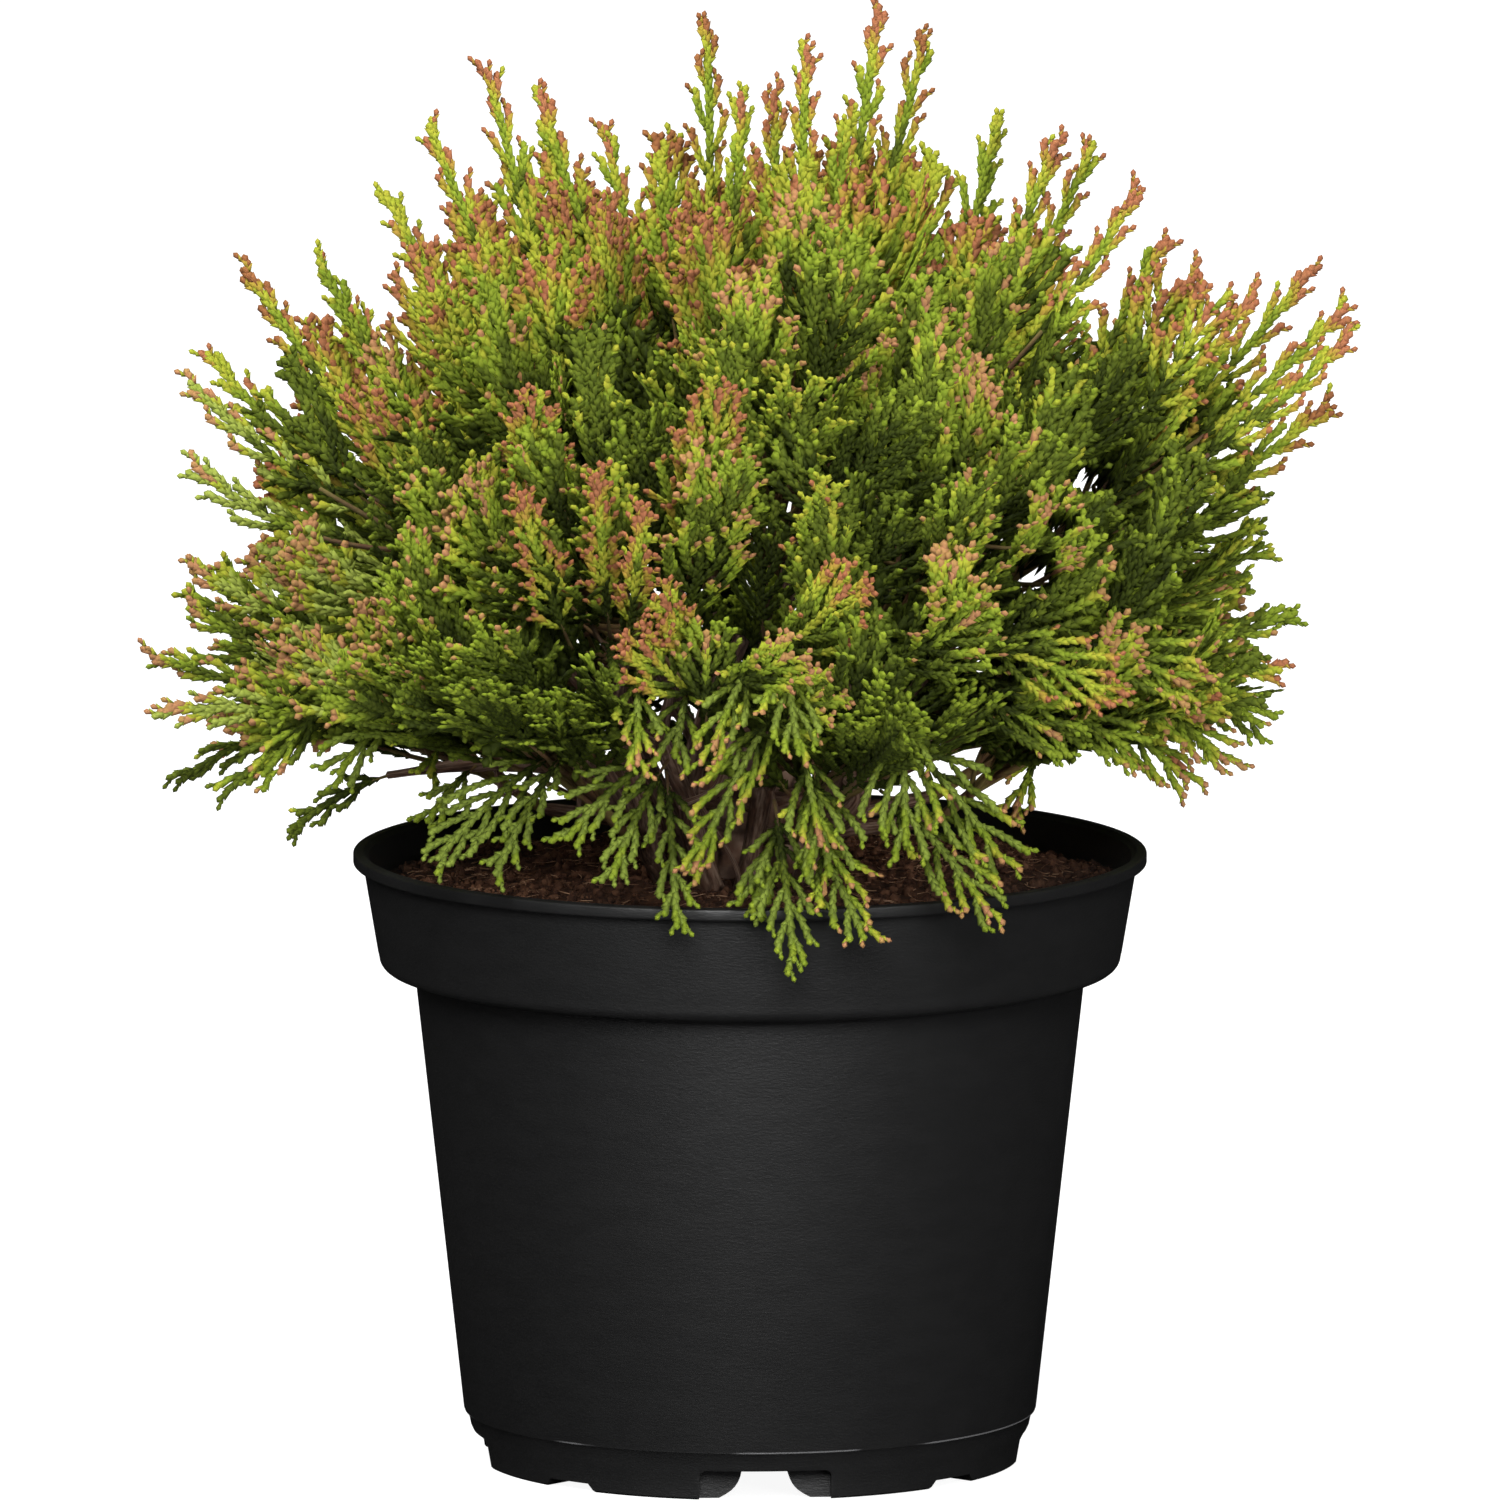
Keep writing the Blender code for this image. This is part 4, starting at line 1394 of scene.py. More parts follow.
@dataclass
class CrownPlan:
    """The rule that places the boughs, the stems and the sprays, as the solids have it."""

    root: Vector = field(default_factory=lambda: AXIS + UP * (150.0 * MM))
    half_width: float = 137.0 * MM
    height: float = 195.0 * MM
    squareness: float = 2.8
    jitter: float = 0.05
    floor: float = 0.5
    front_floor: float = -9.0
    front_azimuth: float = FRONT
    front_spread: float = 30.0
    steepest_floor: float = -60.0
    trunk_foot: float = 142.3 * MM
    trunk_top: float = 177.0 * MM
    flare_radius: float = 17.0 * MM
    trunk_radius: float = 12.0 * MM
    fork_radius: float = 9.6 * MM
    trunk_lean: float = -1.5 * MM
    flare_share: float = 0.35
    bough_tip_radius: float = 1.5 * MM
    bough_reach: float = 0.36
    bough_handle: float = 0.45
    stem_reach: float = 0.64
    widest_cell: float = math.radians(34.0)
    edge_allowance: float = math.radians(1.5)
    golden_angle: float = math.radians(137.508)
    swing_jitter: float = 0.25
    tiers: tuple[Tier, ...] = (
        Tier("skirt", 7, 26.0, 8.0, 151.5 * MM, 0.0, 2.7 * MM, 0.10, 13),
        Tier("lower", 7, 20.0, 25.0, 159.5 * MM, 0.0, 2.7 * MM, 0.03, 14),
        Tier("middle", 6, 5.0, 44.0, 168.5 * MM, 0.0, 2.6 * MM, -0.05, 15),
        Tier("upper", 5, -8.0, 65.0, 177.0 * MM, 7.2 * MM, 2.2 * MM, -0.08, 14),
        Tier("top", 2, 0.0, 82.0, 177.0 * MM, 2.3 * MM, 2.0 * MM, -0.04, 11),
    )
    lumps: tuple[Lump, ...] = (
        Lump(0.0, 40.0, 21.0 * MM, 12.0),
        Lump(0.0, 8.0, -20.0 * MM, 9.0),
        Lump(0.0, 61.0, -8.0 * MM, 8.0),
        Lump(0.0, 80.0, 8.0 * MM, 6.0),
        Lump(180.0, 87.0, 4.0 * MM, 5.0),
        Lump(180.0, 80.0, -26.0 * MM, 4.0),
        Lump(180.0, 48.0, 9.0 * MM, 8.0),
        Lump(180.0, 17.0, 13.0 * MM, 11.0),
        Lump(180.0, 2.0, -12.0 * MM, 7.0),
        Lump(270.0, 5.0, -14.0 * MM, 25.0),
    )
    window: Vector = field(default_factory=lambda: unit(264.0, 11.0))
    window_half_angle: float = 13.0
    placed_front: Vector = field(default_factory=lambda: unit(267.0, 32.0))
    placed_half_angle: float = 12.0

    def reach(self, direction: Vector) -> float:
        """Return the crown's reach from its root point in one direction."""
        across = math.hypot(direction.x, direction.y) / self.half_width
        rise = abs(direction.z) / self.height
        reach = (across**self.squareness + rise**self.squareness) ** (-1.0 / self.squareness)
        for lump in self.lumps:
            away = math.degrees(direction.angle(unit(lump.azimuth, lump.elevation)))
            reach += lump.extra * math.exp(-((away / lump.spread) ** 2))
        return reach

    def in_window(self, direction: Vector) -> bool:
        """Tell whether a direction lies in the opening that shows the stems."""
        return math.degrees(direction.angle(self.window)) < self.window_half_angle

    def masses(self) -> list[Mass]:
        """Lay out the masses tier by tier and give each the directions round it."""
        made = []
        for tier in self.tiers:
            for number in range(tier.count):
                azimuth = tier.first_azimuth + 360.0 * number / tier.count
                made.append(Mass(f"{tier.name}_{number + 1}", tier, azimuth, unit(azimuth, tier.elevation)))
        axes = [mass.axis for mass in made]
        for mass in made:
            front = abs(mass.azimuth - self.front_azimuth) < self.front_spread
            floor = self.front_floor if front else self.floor
            below = max(2.0 * floor - mass.tier.elevation, self.steepest_floor)
            mass.neighbours = [axis for axis in axes if axis is not mass.axis] + [unit(mass.azimuth, below)]
        return made

    def trunk_radius_at(self, level: float) -> float:
        """Return the trunk's radius at a level, with the flare at its foot."""
        share = (level - self.trunk_foot) / (self.trunk_top - self.trunk_foot)
        flare = (self.flare_radius - self.trunk_radius) * max(0.0, 1.0 - share / self.flare_share) ** 2
        return self.trunk_radius + (self.fork_radius - self.trunk_radius) * share + flare

    def trunk_middle(self, level: float) -> Vector:
        """Return the trunk's middle at a level; it leans a little to the left."""
        share = (level - self.trunk_foot) / (self.trunk_top - self.trunk_foot)
        return Vector((AXIS.x + self.trunk_lean * share, AXIS.y, level))

    def bough_curve(self, mass: Mass) -> tuple[Vector, Vector, Vector]:
        """Return the start, the handle and the end of a mass's bough.

        Args:
            mass: The mass at the bough's end.

        Returns:
            Three points; the start lies inside the trunk's bark.
        """
        end = self.root + mass.axis * (self.reach(mass.axis) * self.bough_reach)
        outward = unit(mass.azimuth, 0.0)
        if mass.tier.fork_ring == 0.0:
            middle = self.trunk_middle(mass.tier.bough_level)
            start = middle + outward * (self.trunk_radius_at(middle.z) * 0.8)
            handle = start + (outward + UP * 0.15) * (self.bough_handle * (end - start).length)
        else:
            start = self.trunk_middle(self.trunk_top) + outward * mass.tier.fork_ring - UP * (2.0 * MM)
            handle = start + (UP + outward * 0.25) * (self.bough_handle * (end - start).length)
        return start, handle, end

    def stem_line(self, mass: Mass) -> tuple[Vector, Vector]:
        """Return the foot and the tip of a mass's stem."""
        start, handle, end = self.bough_curve(mass)
        return end, HEM.lift(self.root + mass.axis * (self.reach(mass.axis) * self.stem_reach), 3.0 * MM)

    def spray_curve(self, mass: Mass, number: int, chance: Random) -> tuple[Vector, Vector, Vector, Vector]:
        """Return the root, the handle, the tip and the direction of one spray's line.

        Args:
            mass: The spray's mass.
            number: The spray's number in its mass.
            chance: The spray's own random draws.

        Returns:
            Three points and a unit direction from the crown's root.
        """
        base, stem_tip = self.stem_line(mass)
        fraction = math.sqrt(number / mass.tier.sprays)
        swing = self.golden_angle * number + chance.uniform(-self.swing_jitter, self.swing_jitter)
        first = mass.axis.orthogonal().normalized()
        side = first * math.cos(swing) + mass.axis.cross(first) * math.sin(swing)
        lean = max(0.0, mass.cell_angle(side, self.widest_cell) - self.edge_allowance) * fraction
        direction = mass.axis * math.cos(lean) + side * math.sin(lean)
        reach = self.reach(direction) * (1.0 - chance.uniform(0.0, self.jitter) * (number > 0))
        tip = self.root + direction * reach
        root = base.lerp(stem_tip, max(0.05, 0.98 - 0.9 * fraction))
        lift = mass.axis * (0.1 * (tip - root).length)
        handle = root.lerp(tip, 0.45) + lift + UP * (mass.tier.droop * 0.35 * reach)
        return root, handle, tip, direction


# Foliage


@dataclass(frozen=True)
class Palette:
    """How one spray is coloured, and how many scales of its tips are tinted."""

    axis: Tone
    inner: Tone
    body: Tone
    outer: Tone
    fade: Tone
    tip: Tone
    tinted: float
    share: float


class Look(Enum):
    """The ways in which a spray can be coloured."""

    COPPERY = Palette(Tone.LIME, Tone.MIDDLE, Tone.FRESH, Tone.LIME, Tone.GOLD, Tone.COPPER, 1.7, 0.62)
    RUSTY = Palette(Tone.LIME, Tone.MIDDLE, Tone.FRESH, Tone.LIME, Tone.GOLD, Tone.RUST, 1.6, 0.62)
    LIMY = Palette(Tone.LIME, Tone.MIDDLE, Tone.FRESH, Tone.LIME, Tone.GOLD, Tone.COPPER, 1.6, 0.6)
    GREEN = Palette(Tone.FRESH, Tone.DEEP, Tone.MIDDLE, Tone.FRESH, Tone.LIME, Tone.ROSE, 1.3, 0.45)
    LEAFY = Palette(Tone.MIDDLE, Tone.DEEP, Tone.MIDDLE, Tone.MIDDLE, Tone.FRESH, Tone.LIME, 2.0, 0.5)
    FERNY = Palette(Tone.MIDDLE, Tone.MIDDLE, Tone.FERN, Tone.FERN, Tone.FERN, Tone.FRESH, 2.0, 0.6)
    TIPPED = Palette(Tone.FERN, Tone.MIDDLE, Tone.FERN, Tone.FRESH, Tone.LIME, Tone.ROSE, 1.0, 0.5)
    SILVERY = Palette(Tone.FRESH, Tone.MIDDLE, Tone.SILVER, Tone.SILVER, Tone.LIME, Tone.ROSE, 2.0, 0.35)
    # DARK and SHADED are painted shade: deep greens for sprays that lie in the crown's shade.
    DARK = Palette(Tone.MIDDLE, Tone.DEEP, Tone.DEEP, Tone.MIDDLE, Tone.MIDDLE, Tone.FRESH, 2.0, 0.3)
    SHADED = Palette(Tone.DEEP, Tone.DEEP, Tone.DEEP, Tone.DEEP, Tone.MIDDLE, Tone.MIDDLE, 1.0, 0.2)


class Scale(Enum):
    """The shapes of the scales, which take turns along a branchlet, and the shape of its tip.

    Each has corners at its back, at both sides, above and below, and a tip has one in front.
    One side corner stands out further forward, like a tooth, on the left and the right in turns.
    """

    LEFT = 0
    RIGHT = 1
    TIP = 2


class LeafBank:
    """Collects scale leaves by tone and joins them into meshes."""

    corners = {
        Scale.LEFT: [
            (-1.0, 0.0, 0.0), (1.5, 0.54, 0.0), (0.6, -0.42, 0.0), (0.9, 0.12, 0.46), (0.9, 0.12, -0.46)
        ],
        Scale.RIGHT: [
            (-1.0, 0.0, 0.0), (0.6, 0.42, 0.0), (1.5, -0.54, 0.0), (0.9, -0.12, 0.46), (0.9, -0.12, -0.46)
        ],
        Scale.TIP: [
            (-1.0, 0.0, 0.0), (0.9, 0.5, 0.0), (0.9, -0.5, 0.0),
            (0.7, 0.0, 0.5), (0.7, 0.0, -0.5), (1.6, 0.0, 0.0),
        ],
    }
    longest_back = 3.6
    # Shade of each corner: the back corner, under the scale before, gets painted shade.
    shades = np.array([0.0, 1.0, 1.0, 1.0, 1.0, 0.9])
    blunt = [(0, 2, 3), (3, 1, 0), (2, 0, 4), (1, 4, 0), (1, 3, 2), (1, 2, 4)]
    pointed = [(0, 2, 3), (3, 1, 0), (2, 0, 4), (1, 4, 0), (2, 5, 3), (5, 1, 3), (5, 2, 4), (1, 5, 4)]
    most_scales = 29_000

    def __init__(self) -> None:
        """Start with no scales."""
        self.rows: list[Array] = []

    def add(self, places: Array, ahead: Array, side: Array, sizes: Array, tones: Array) -> None:
        """Add the scales of one branchlet, the last of which is its tip.

        Args:
            places: Where the scales sit.
            ahead: Their directions.
            side: Directions square to those, in the plane of the spray.
            sizes: Their length, width and thickness.
            tones: The numbers of their tones.
        """
        count = len(places)
        kinds = np.arange(count) % 2
        kinds[-1] = Scale.TIP.value
        backs = np.minimum(self.longest_back, 0.9 + np.arange(count))
        self.rows.append(np.column_stack([places, ahead, side, sizes, tones, kinds, backs]))

    def join(self, materials: dict[Tone, Material]) -> None:
        """Join the scales of each tone into pieces.

        Args:
            materials: The material of each tone.
        """
        rows = np.concatenate(self.rows)
        nodes = node_names("foliage_")
        LOG.info("scales: %d", len(rows))
        for tone in Tone:
            chosen = rows[rows[:, 12].astype(int) == tone.value]
            parts = max(1, math.ceil(len(chosen) / self.most_scales))
            for number, part in enumerate(np.array_split(chosen, parts), 1):
                finish = LEAF_FINISHES[tone]
                item = self.join_part(f"{finish.name}_{number}", part)
                finish_piece(item, materials[tone], nodes)

    def join_part(self, name: str, rows: Array) -> Object:
        """Join scales into one mesh.

        Args:
            name: The name of the new object.
            rows: One row for each scale.

        Returns:
            The object.
        """
        points = []
        faces = []
        shades = []
        count = 0
        for kind in Scale:
            chosen = rows[rows[:, 13] == kind.value]
            corners = np.array(self.corners[kind])
            shape = np.array(self.pointed if kind is Scale.TIP else self.blunt)
            ahead, side = chosen[:, 3:6], chosen[:, 6:9]
            normal = np.cross(ahead, side)
            axes = np.stack([ahead, side, normal], axis=1) * chosen[:, 9:12, None]
            placed = chosen[:, None, 0:3] + np.einsum("kc,ncd->nkd", corners, axes)
            placed[:, 0] = chosen[:, 0:3] - axes[:, 0] * chosen[:, 14:15]
            points.append(placed.reshape(-1, 3))
            shades.append(np.tile(self.shades[: len(corners)], len(chosen)))
            numbers = shape[None] + (count + np.arange(len(chosen)) * len(corners))[:, None, None]
            faces.append(numbers.reshape(-1, 3))
            count += len(points[-1])
        item = mesh_object(name, np.concatenate(points), np.concatenate(faces))
        shade = item.data.attributes.new("shade", "FLOAT", "POINT")
        shade.data.foreach_set("value", np.concatenate(shades).astype(np.float32))
        return item


@dataclass
class SprayShape:
    """The size and the habit of one spray."""

    half_width: float
    leafy_from: float
    look: Look
    cup: float = 0.12
    gap: int = 2
    coarse: float = 1.0
    hem_drop: float = 0.0
    twig: float = 1.0
    angle: float = 31.0
    buds: int = 2
    turned: bool = False
    blush: float = 0.0


Curve = tuple[Vector, Vector, Vector]


class SprayGrower:
    """Grows flat sprays of scale-covered branchlets on bare twigs."""

    pitch = 1.35 * MM
    width = 2.7 * MM
    most_blush = 0.88
    least_blush = 0.25
    forking = 0.3
    flatness = 0.40

    def __init__(self) -> None:
        """Start with no leaves and no twigs."""
        self.leaves = LeafBank()
        self.twigs = TubeBank()

    def grow(self, curve: Curve, across: Vector, shape: SprayShape, chance: Random) -> None:
        """Grow one spray along a curve, with a bare twig up to where its leaves start.

        Args:
            curve: The start, the handle and the tip.
            across: The direction in which the spray is widest.
            shape: The spray's size and habit.
            chance: The spray's own random draws.
        """
        start, handle, tip = curve
        length = (tip - start).length
        pitch = self.pitch * shape.coarse
        bare = [bezier(start, handle, tip, shape.leafy_from * 1.5 * step / 6)[:] for step in range(7)]
        thick = np.linspace(1.0, 0.7, 7) * ((0.5 + 5.0 * length) * MM * shape.twig)
        self.twigs.add(np.array(bare), thick, 5)
        count = max(4, int(length * (1.0 - shape.leafy_from) / pitch))
        shares = np.linspace(shape.leafy_from, 1.0 - 1.5 * pitch / length, count)
        places = np.array([bezier(start, handle, tip, share)[:] for share in shares])
        ahead = np.gradient(places, axis=0)
        ahead /= np.linalg.norm(ahead, axis=1)[:, None]
        flat = np.array(across[:])
        side = flat[None] - ahead * (ahead @ flat)[:, None]
        side /= np.linalg.norm(side, axis=1)[:, None]
        palette = shape.look.value
        shape.blush = self.most_blush if chance.random() < palette.share else self.least_blush
        tones = self.tones_of(count, shape, 0.0, 1.0, 2.0 if count > 9 else 1.2, chance)
        tones = np.where((shares < 0.62) & (tones != Tone.DEEP.value), palette.axis.value, tones)
        self.cover(places, ahead, side, shape, tones, 1.0)
        hand = chance.choice((-1.0, 1.0))
        for number in range(1, count - 1, shape.gap):
            share = number / count
            hand = -hand
            envelope = min(1.0, 0.5 + share / 0.35) * (1.0 - share) ** 0.7
            reach = 1.2 * shape.half_width * envelope * chance.uniform(0.78, 1.12)
            reach /= math.sin(math.radians(shape.angle))
            reach += 3.0 * MM
            angle = math.radians(shape.angle + chance.uniform(-5.0, 5.0) - 8.0 * share)
            joint = (places[number], ahead[number], side[number])
            self.lateral(*joint, hand, angle, reach, share, shape, chance)
        self.fan((places, ahead, side), shape, 1.0, chance)

    def lateral(
        self, place: Array, ahead: Array, side: Array, hand: float, angle: float,
        reach: float, share: float, shape: SprayShape, chance: Random,
    ) -> None:
        """Grow one branchlet off a spray's axis, with shorter branchlets on it.

        Args:
            place: Where it starts.
            ahead: The axis's direction there.
            side: The spray's sideways direction there.
            hand: Which side it leaves on, 1 or -1.
            angle: Its angle to the axis in radians.
            reach: Its length.
            share: How far along the spray it starts, from 0 to 1.
            shape: The spray's size and habit.
            chance: The spray's own random draws.
        """
        pitch = self.pitch * shape.coarse
        forward = math.radians(chance.uniform(14.0, 28.0))
        lift = shape.cup + chance.uniform(-0.2, 0.2)
        lowest = HEM.at(place[0] - AXIS.x, place[1] - AXIS.y) - shape.hem_drop
        drop = place[2] + reach * (math.cos(angle) * ahead[2] + hand * math.sin(angle) * side[2])
        if drop < lowest and drop < place[2]:
            reach *= max(0.0, (place[2] - lowest) / (place[2] - drop))
        if reach < 1.2 * pitch:
            return
        line = self.branchlet(place, ahead, side, hand * angle, -hand * forward, reach, lift, pitch)
        places, headings, sides = line
        count = len(places)
        outer = share + (1.0 - share) * 0.8
        self.cover(*line, shape, self.tones_of(count, shape, share, outer, 0.35 + 0.85 * share, chance), 0.94)
        other = hand
        for number in range(5, count - 4, 3):
            other = -other
            rest = (count - number) * pitch
            length = min(11.0 * MM, 0.6 * rest) * chance.uniform(0.65, 1.1)
            if length < 2.6 * pitch or chance.random() > self.forking:
                continue
            tilt = math.radians(chance.uniform(30.0, 42.0))
            bend = math.radians(chance.uniform(4.0, 16.0))
            branch = self.branchlet(
                places[number], headings[number], sides[number], other * tilt, -other * bend, length,
                chance.uniform(-0.2, 0.2), pitch,
            )
            along = share + (outer - share) * number / count
            tones = self.tones_of(len(branch[0]), shape, along, outer, 0.25 + 0.5 * along, chance)
            self.cover(*branch, shape, tones, 0.84)
        if count > 2:
            self.fan(line, shape, outer, chance)

    def branchlet(
        self, place: Array, ahead: Array, side: Array, angle: float, bend: float,
        length: float, lift: float, pitch: float,
    ) -> tuple[Array, Array, Array]:
        """Return the places, directions and sides of the scales on one branchlet.

        Args:
            place: Where the branchlet starts.
            ahead: The direction of what carries it.
            side: The spray's sideways direction there.
            angle: The signed angle at which it leaves, in radians.
            bend: The signed angle through which it turns along its length.
            length: Its length.
            lift: How far it rises out of the spray's plane, as a slope at its tip.
            pitch: The distance from scale to scale.

        Returns:
            Three arrays with one row for each scale.
        """
        count = max(1, round(length / pitch))
        steps = np.arange(count) / count
        turn = angle + bend * steps
        normal = np.cross(ahead, side)
        headings = np.cos(turn)[:, None] * ahead + np.sin(turn)[:, None] * side
        headings = headings + (lift * steps)[:, None] * normal
        headings /= np.linalg.norm(headings, axis=1)[:, None]
        places = place + np.cumsum(headings, axis=0) * pitch
        sides = np.cross(normal, headings)
        sides /= np.linalg.norm(sides, axis=1)[:, None]
        return places, headings, sides

    def fan(
        self, line: tuple[Array, Array, Array], shape: SprayShape, along: float, chance: Random,
    ) -> None:
        """Set short buds on both sides of a branchlet's end, which make it a small blunt fan.

        Args:
            line: The places, directions and sides of the branchlet's scales.
            shape: The spray's size and habit.
            along: How far along the spray the tip lies, from 0 to 1.
            chance: The spray's own random draws.
        """
        places, headings, sides = line
        palette = shape.look.value
        tinted = chance.random() < shape.blush * min(1.0, 0.45 + 0.7 * along)
        pitch = self.pitch * shape.coarse
        hand = chance.choice((-1.0, 1.0))
        for number in range(min(shape.buds, len(places) - 1)):
            row = -1 - number
            hand = -hand
            start = places[row] - headings[row] * (pitch * chance.uniform(0.5, 1.0))
            angle = hand * math.radians(chance.uniform(22.0, 34.0))
            joint = (start, headings[row], sides[row])
            bud = self.branchlet(*joint, angle, -0.15 * hand, 2.2 * pitch, 0.0, pitch)
            first, last = (palette.fade, palette.tip) if tinted and number < 2 else (palette.outer,) * 2
            self.cover(*bud, shape, np.array([first.value, last.value]), 0.7 + 0.05 * number)

    def tones_of(
        self, count: int, shape: SprayShape, first: float, last: float, strength: float, chance: Random,
    ) -> Array:
        """Return the tones of the scales on one branchlet.

        Args:
            count: The number of scales.
            shape: The spray's habit, with its colours.
            first: How far along the spray the branchlet starts, from 0 to 1.
            last: How far along it ends.
            strength: How much of the palette's tinted length this branchlet takes.
            chance: The spray's own random draws.

        Returns:
            The number of each scale's tone.
        """
        palette = shape.look.value
        progress = np.linspace(first, last, count) + chance.uniform(-0.1, 0.1)
        # Painted shade: the scales nearest the crown's inside take the inner tone, and the innermost ones the
        # deep tone.
        tones = np.where(progress < 0.56, palette.inner.value, palette.body.value)
        tones = np.where(progress < 0.3, Tone.DEEP.value, tones)
        tones = np.where(progress > 0.87, palette.outer.value, tones)
        if chance.random() < shape.blush * min(1.0, 0.4 + strength):
            tinted = round(palette.tinted * strength * chance.uniform(0.7, 1.5))
            tones[max(0, count - tinted - 6) :] = palette.outer.value
            tones[max(0, count - tinted - 2) :] = palette.fade.value
            tones[max(0, count - tinted) :] = palette.tip.value
        return tones

    def cover(
        self, places: Array, headings: Array, sides: Array, shape: SprayShape, tones: Array,
        stoutness: float,
    ) -> None:
        """Cover one branchlet in scales.

        Args:
            places: Where the scales sit.
            headings: Their directions.
            sides: The spray's sideways direction at each.
            shape: The spray's size and habit.
            tones: The number of each scale's tone.
            stoutness: The branchlet's width as a share of the widest.
        """
        count = len(places)
        widths = np.linspace(0.84, 1.0, count) * (self.width * shape.coarse * stoutness)
        sizes = np.stack([np.full(count, self.pitch * shape.coarse), widths, widths * self.flatness], axis=1)
        sizes[-1] *= (0.8, 0.78, 0.9)
        kept = ~np.any([hole.holds(places) for hole in PEEPHOLES], axis=0)
        if kept.any():
            self.leaves.add(places[kept], headings[kept], sides[kept], sizes[kept], tones[kept])


@dataclass(frozen=True)
class Spot:
    """A place read from the photograph: pixels across and down, and millimetres behind the axis."""

    across: float
    down: float
    behind: float = 0.0

    middle = (751.0, 750.0)
    pixels_per_mm = 4.179
    camera_elevation = math.radians(CAMERA_ELEVATION)
    aim_level = AIM_MM

    def world(self) -> Vector:
        """Return the place in metres."""
        right = (self.across - self.middle[0]) / self.pixels_per_mm
        rise = (self.middle[1] - self.down) / self.pixels_per_mm
        rise = (rise - self.behind * math.sin(self.camera_elevation)) / math.cos(self.camera_elevation)
        return AXIS + Vector((right, self.behind, self.aim_level + rise)) * MM


@dataclass(frozen=True)
class Peephole:
    """A small opening through the whole crown, an oval read from the photograph in pixels."""

    across: float
    down: float
    half_width: float
    half_height: float

    def holds(self, places: Array) -> Array:
        """Tell which of some places in metres would close the opening.

        Args:
            places: The places, one to a row.

        Returns:
            True for each row that lies in the opening.
        """
        right, behind, level = ((places - np.array(AXIS[:])) / MM).T
        rise = (level - Spot.aim_level) * math.cos(Spot.camera_elevation)
        rise = rise + behind * math.sin(Spot.camera_elevation)
        off_across = Spot.middle[0] + right * Spot.pixels_per_mm - self.across
        off_down = Spot.middle[1] - rise * Spot.pixels_per_mm - self.down
        return (off_across / self.half_width) ** 2 + (off_down / self.half_height) ** 2 < 1.0


PEEPHOLES = (
    Peephole(1088.0, 484.0, 26.0, 15.0),
    Peephole(1056.0, 529.0, 17.0, 13.0),
    Peephole(1031.0, 577.0, 26.0, 20.0),
)


@dataclass(frozen=True)
class PaintedLightPatch:
    """A part of the crown, round a direction in degrees, whose sprays take lighter or darker looks than the
    rest: painted light or painted shade.
    """

    azimuth: float
    elevation: float
    spread: float
    blush: float

    def at(self, direction: Vector) -> float:
        """Return what the patch adds to the blush of a spray in some direction."""
        away = math.degrees(direction.angle(unit(self.azimuth, self.elevation)))
        return self.blush * math.exp(-((away / self.spread) ** 2))


@dataclass(frozen=True)
class Placed:
    """A spray that stands out in the photograph, with its places, its half width and its look."""

    root: Spot
    tip: Spot
    half_width: float
    look: Look


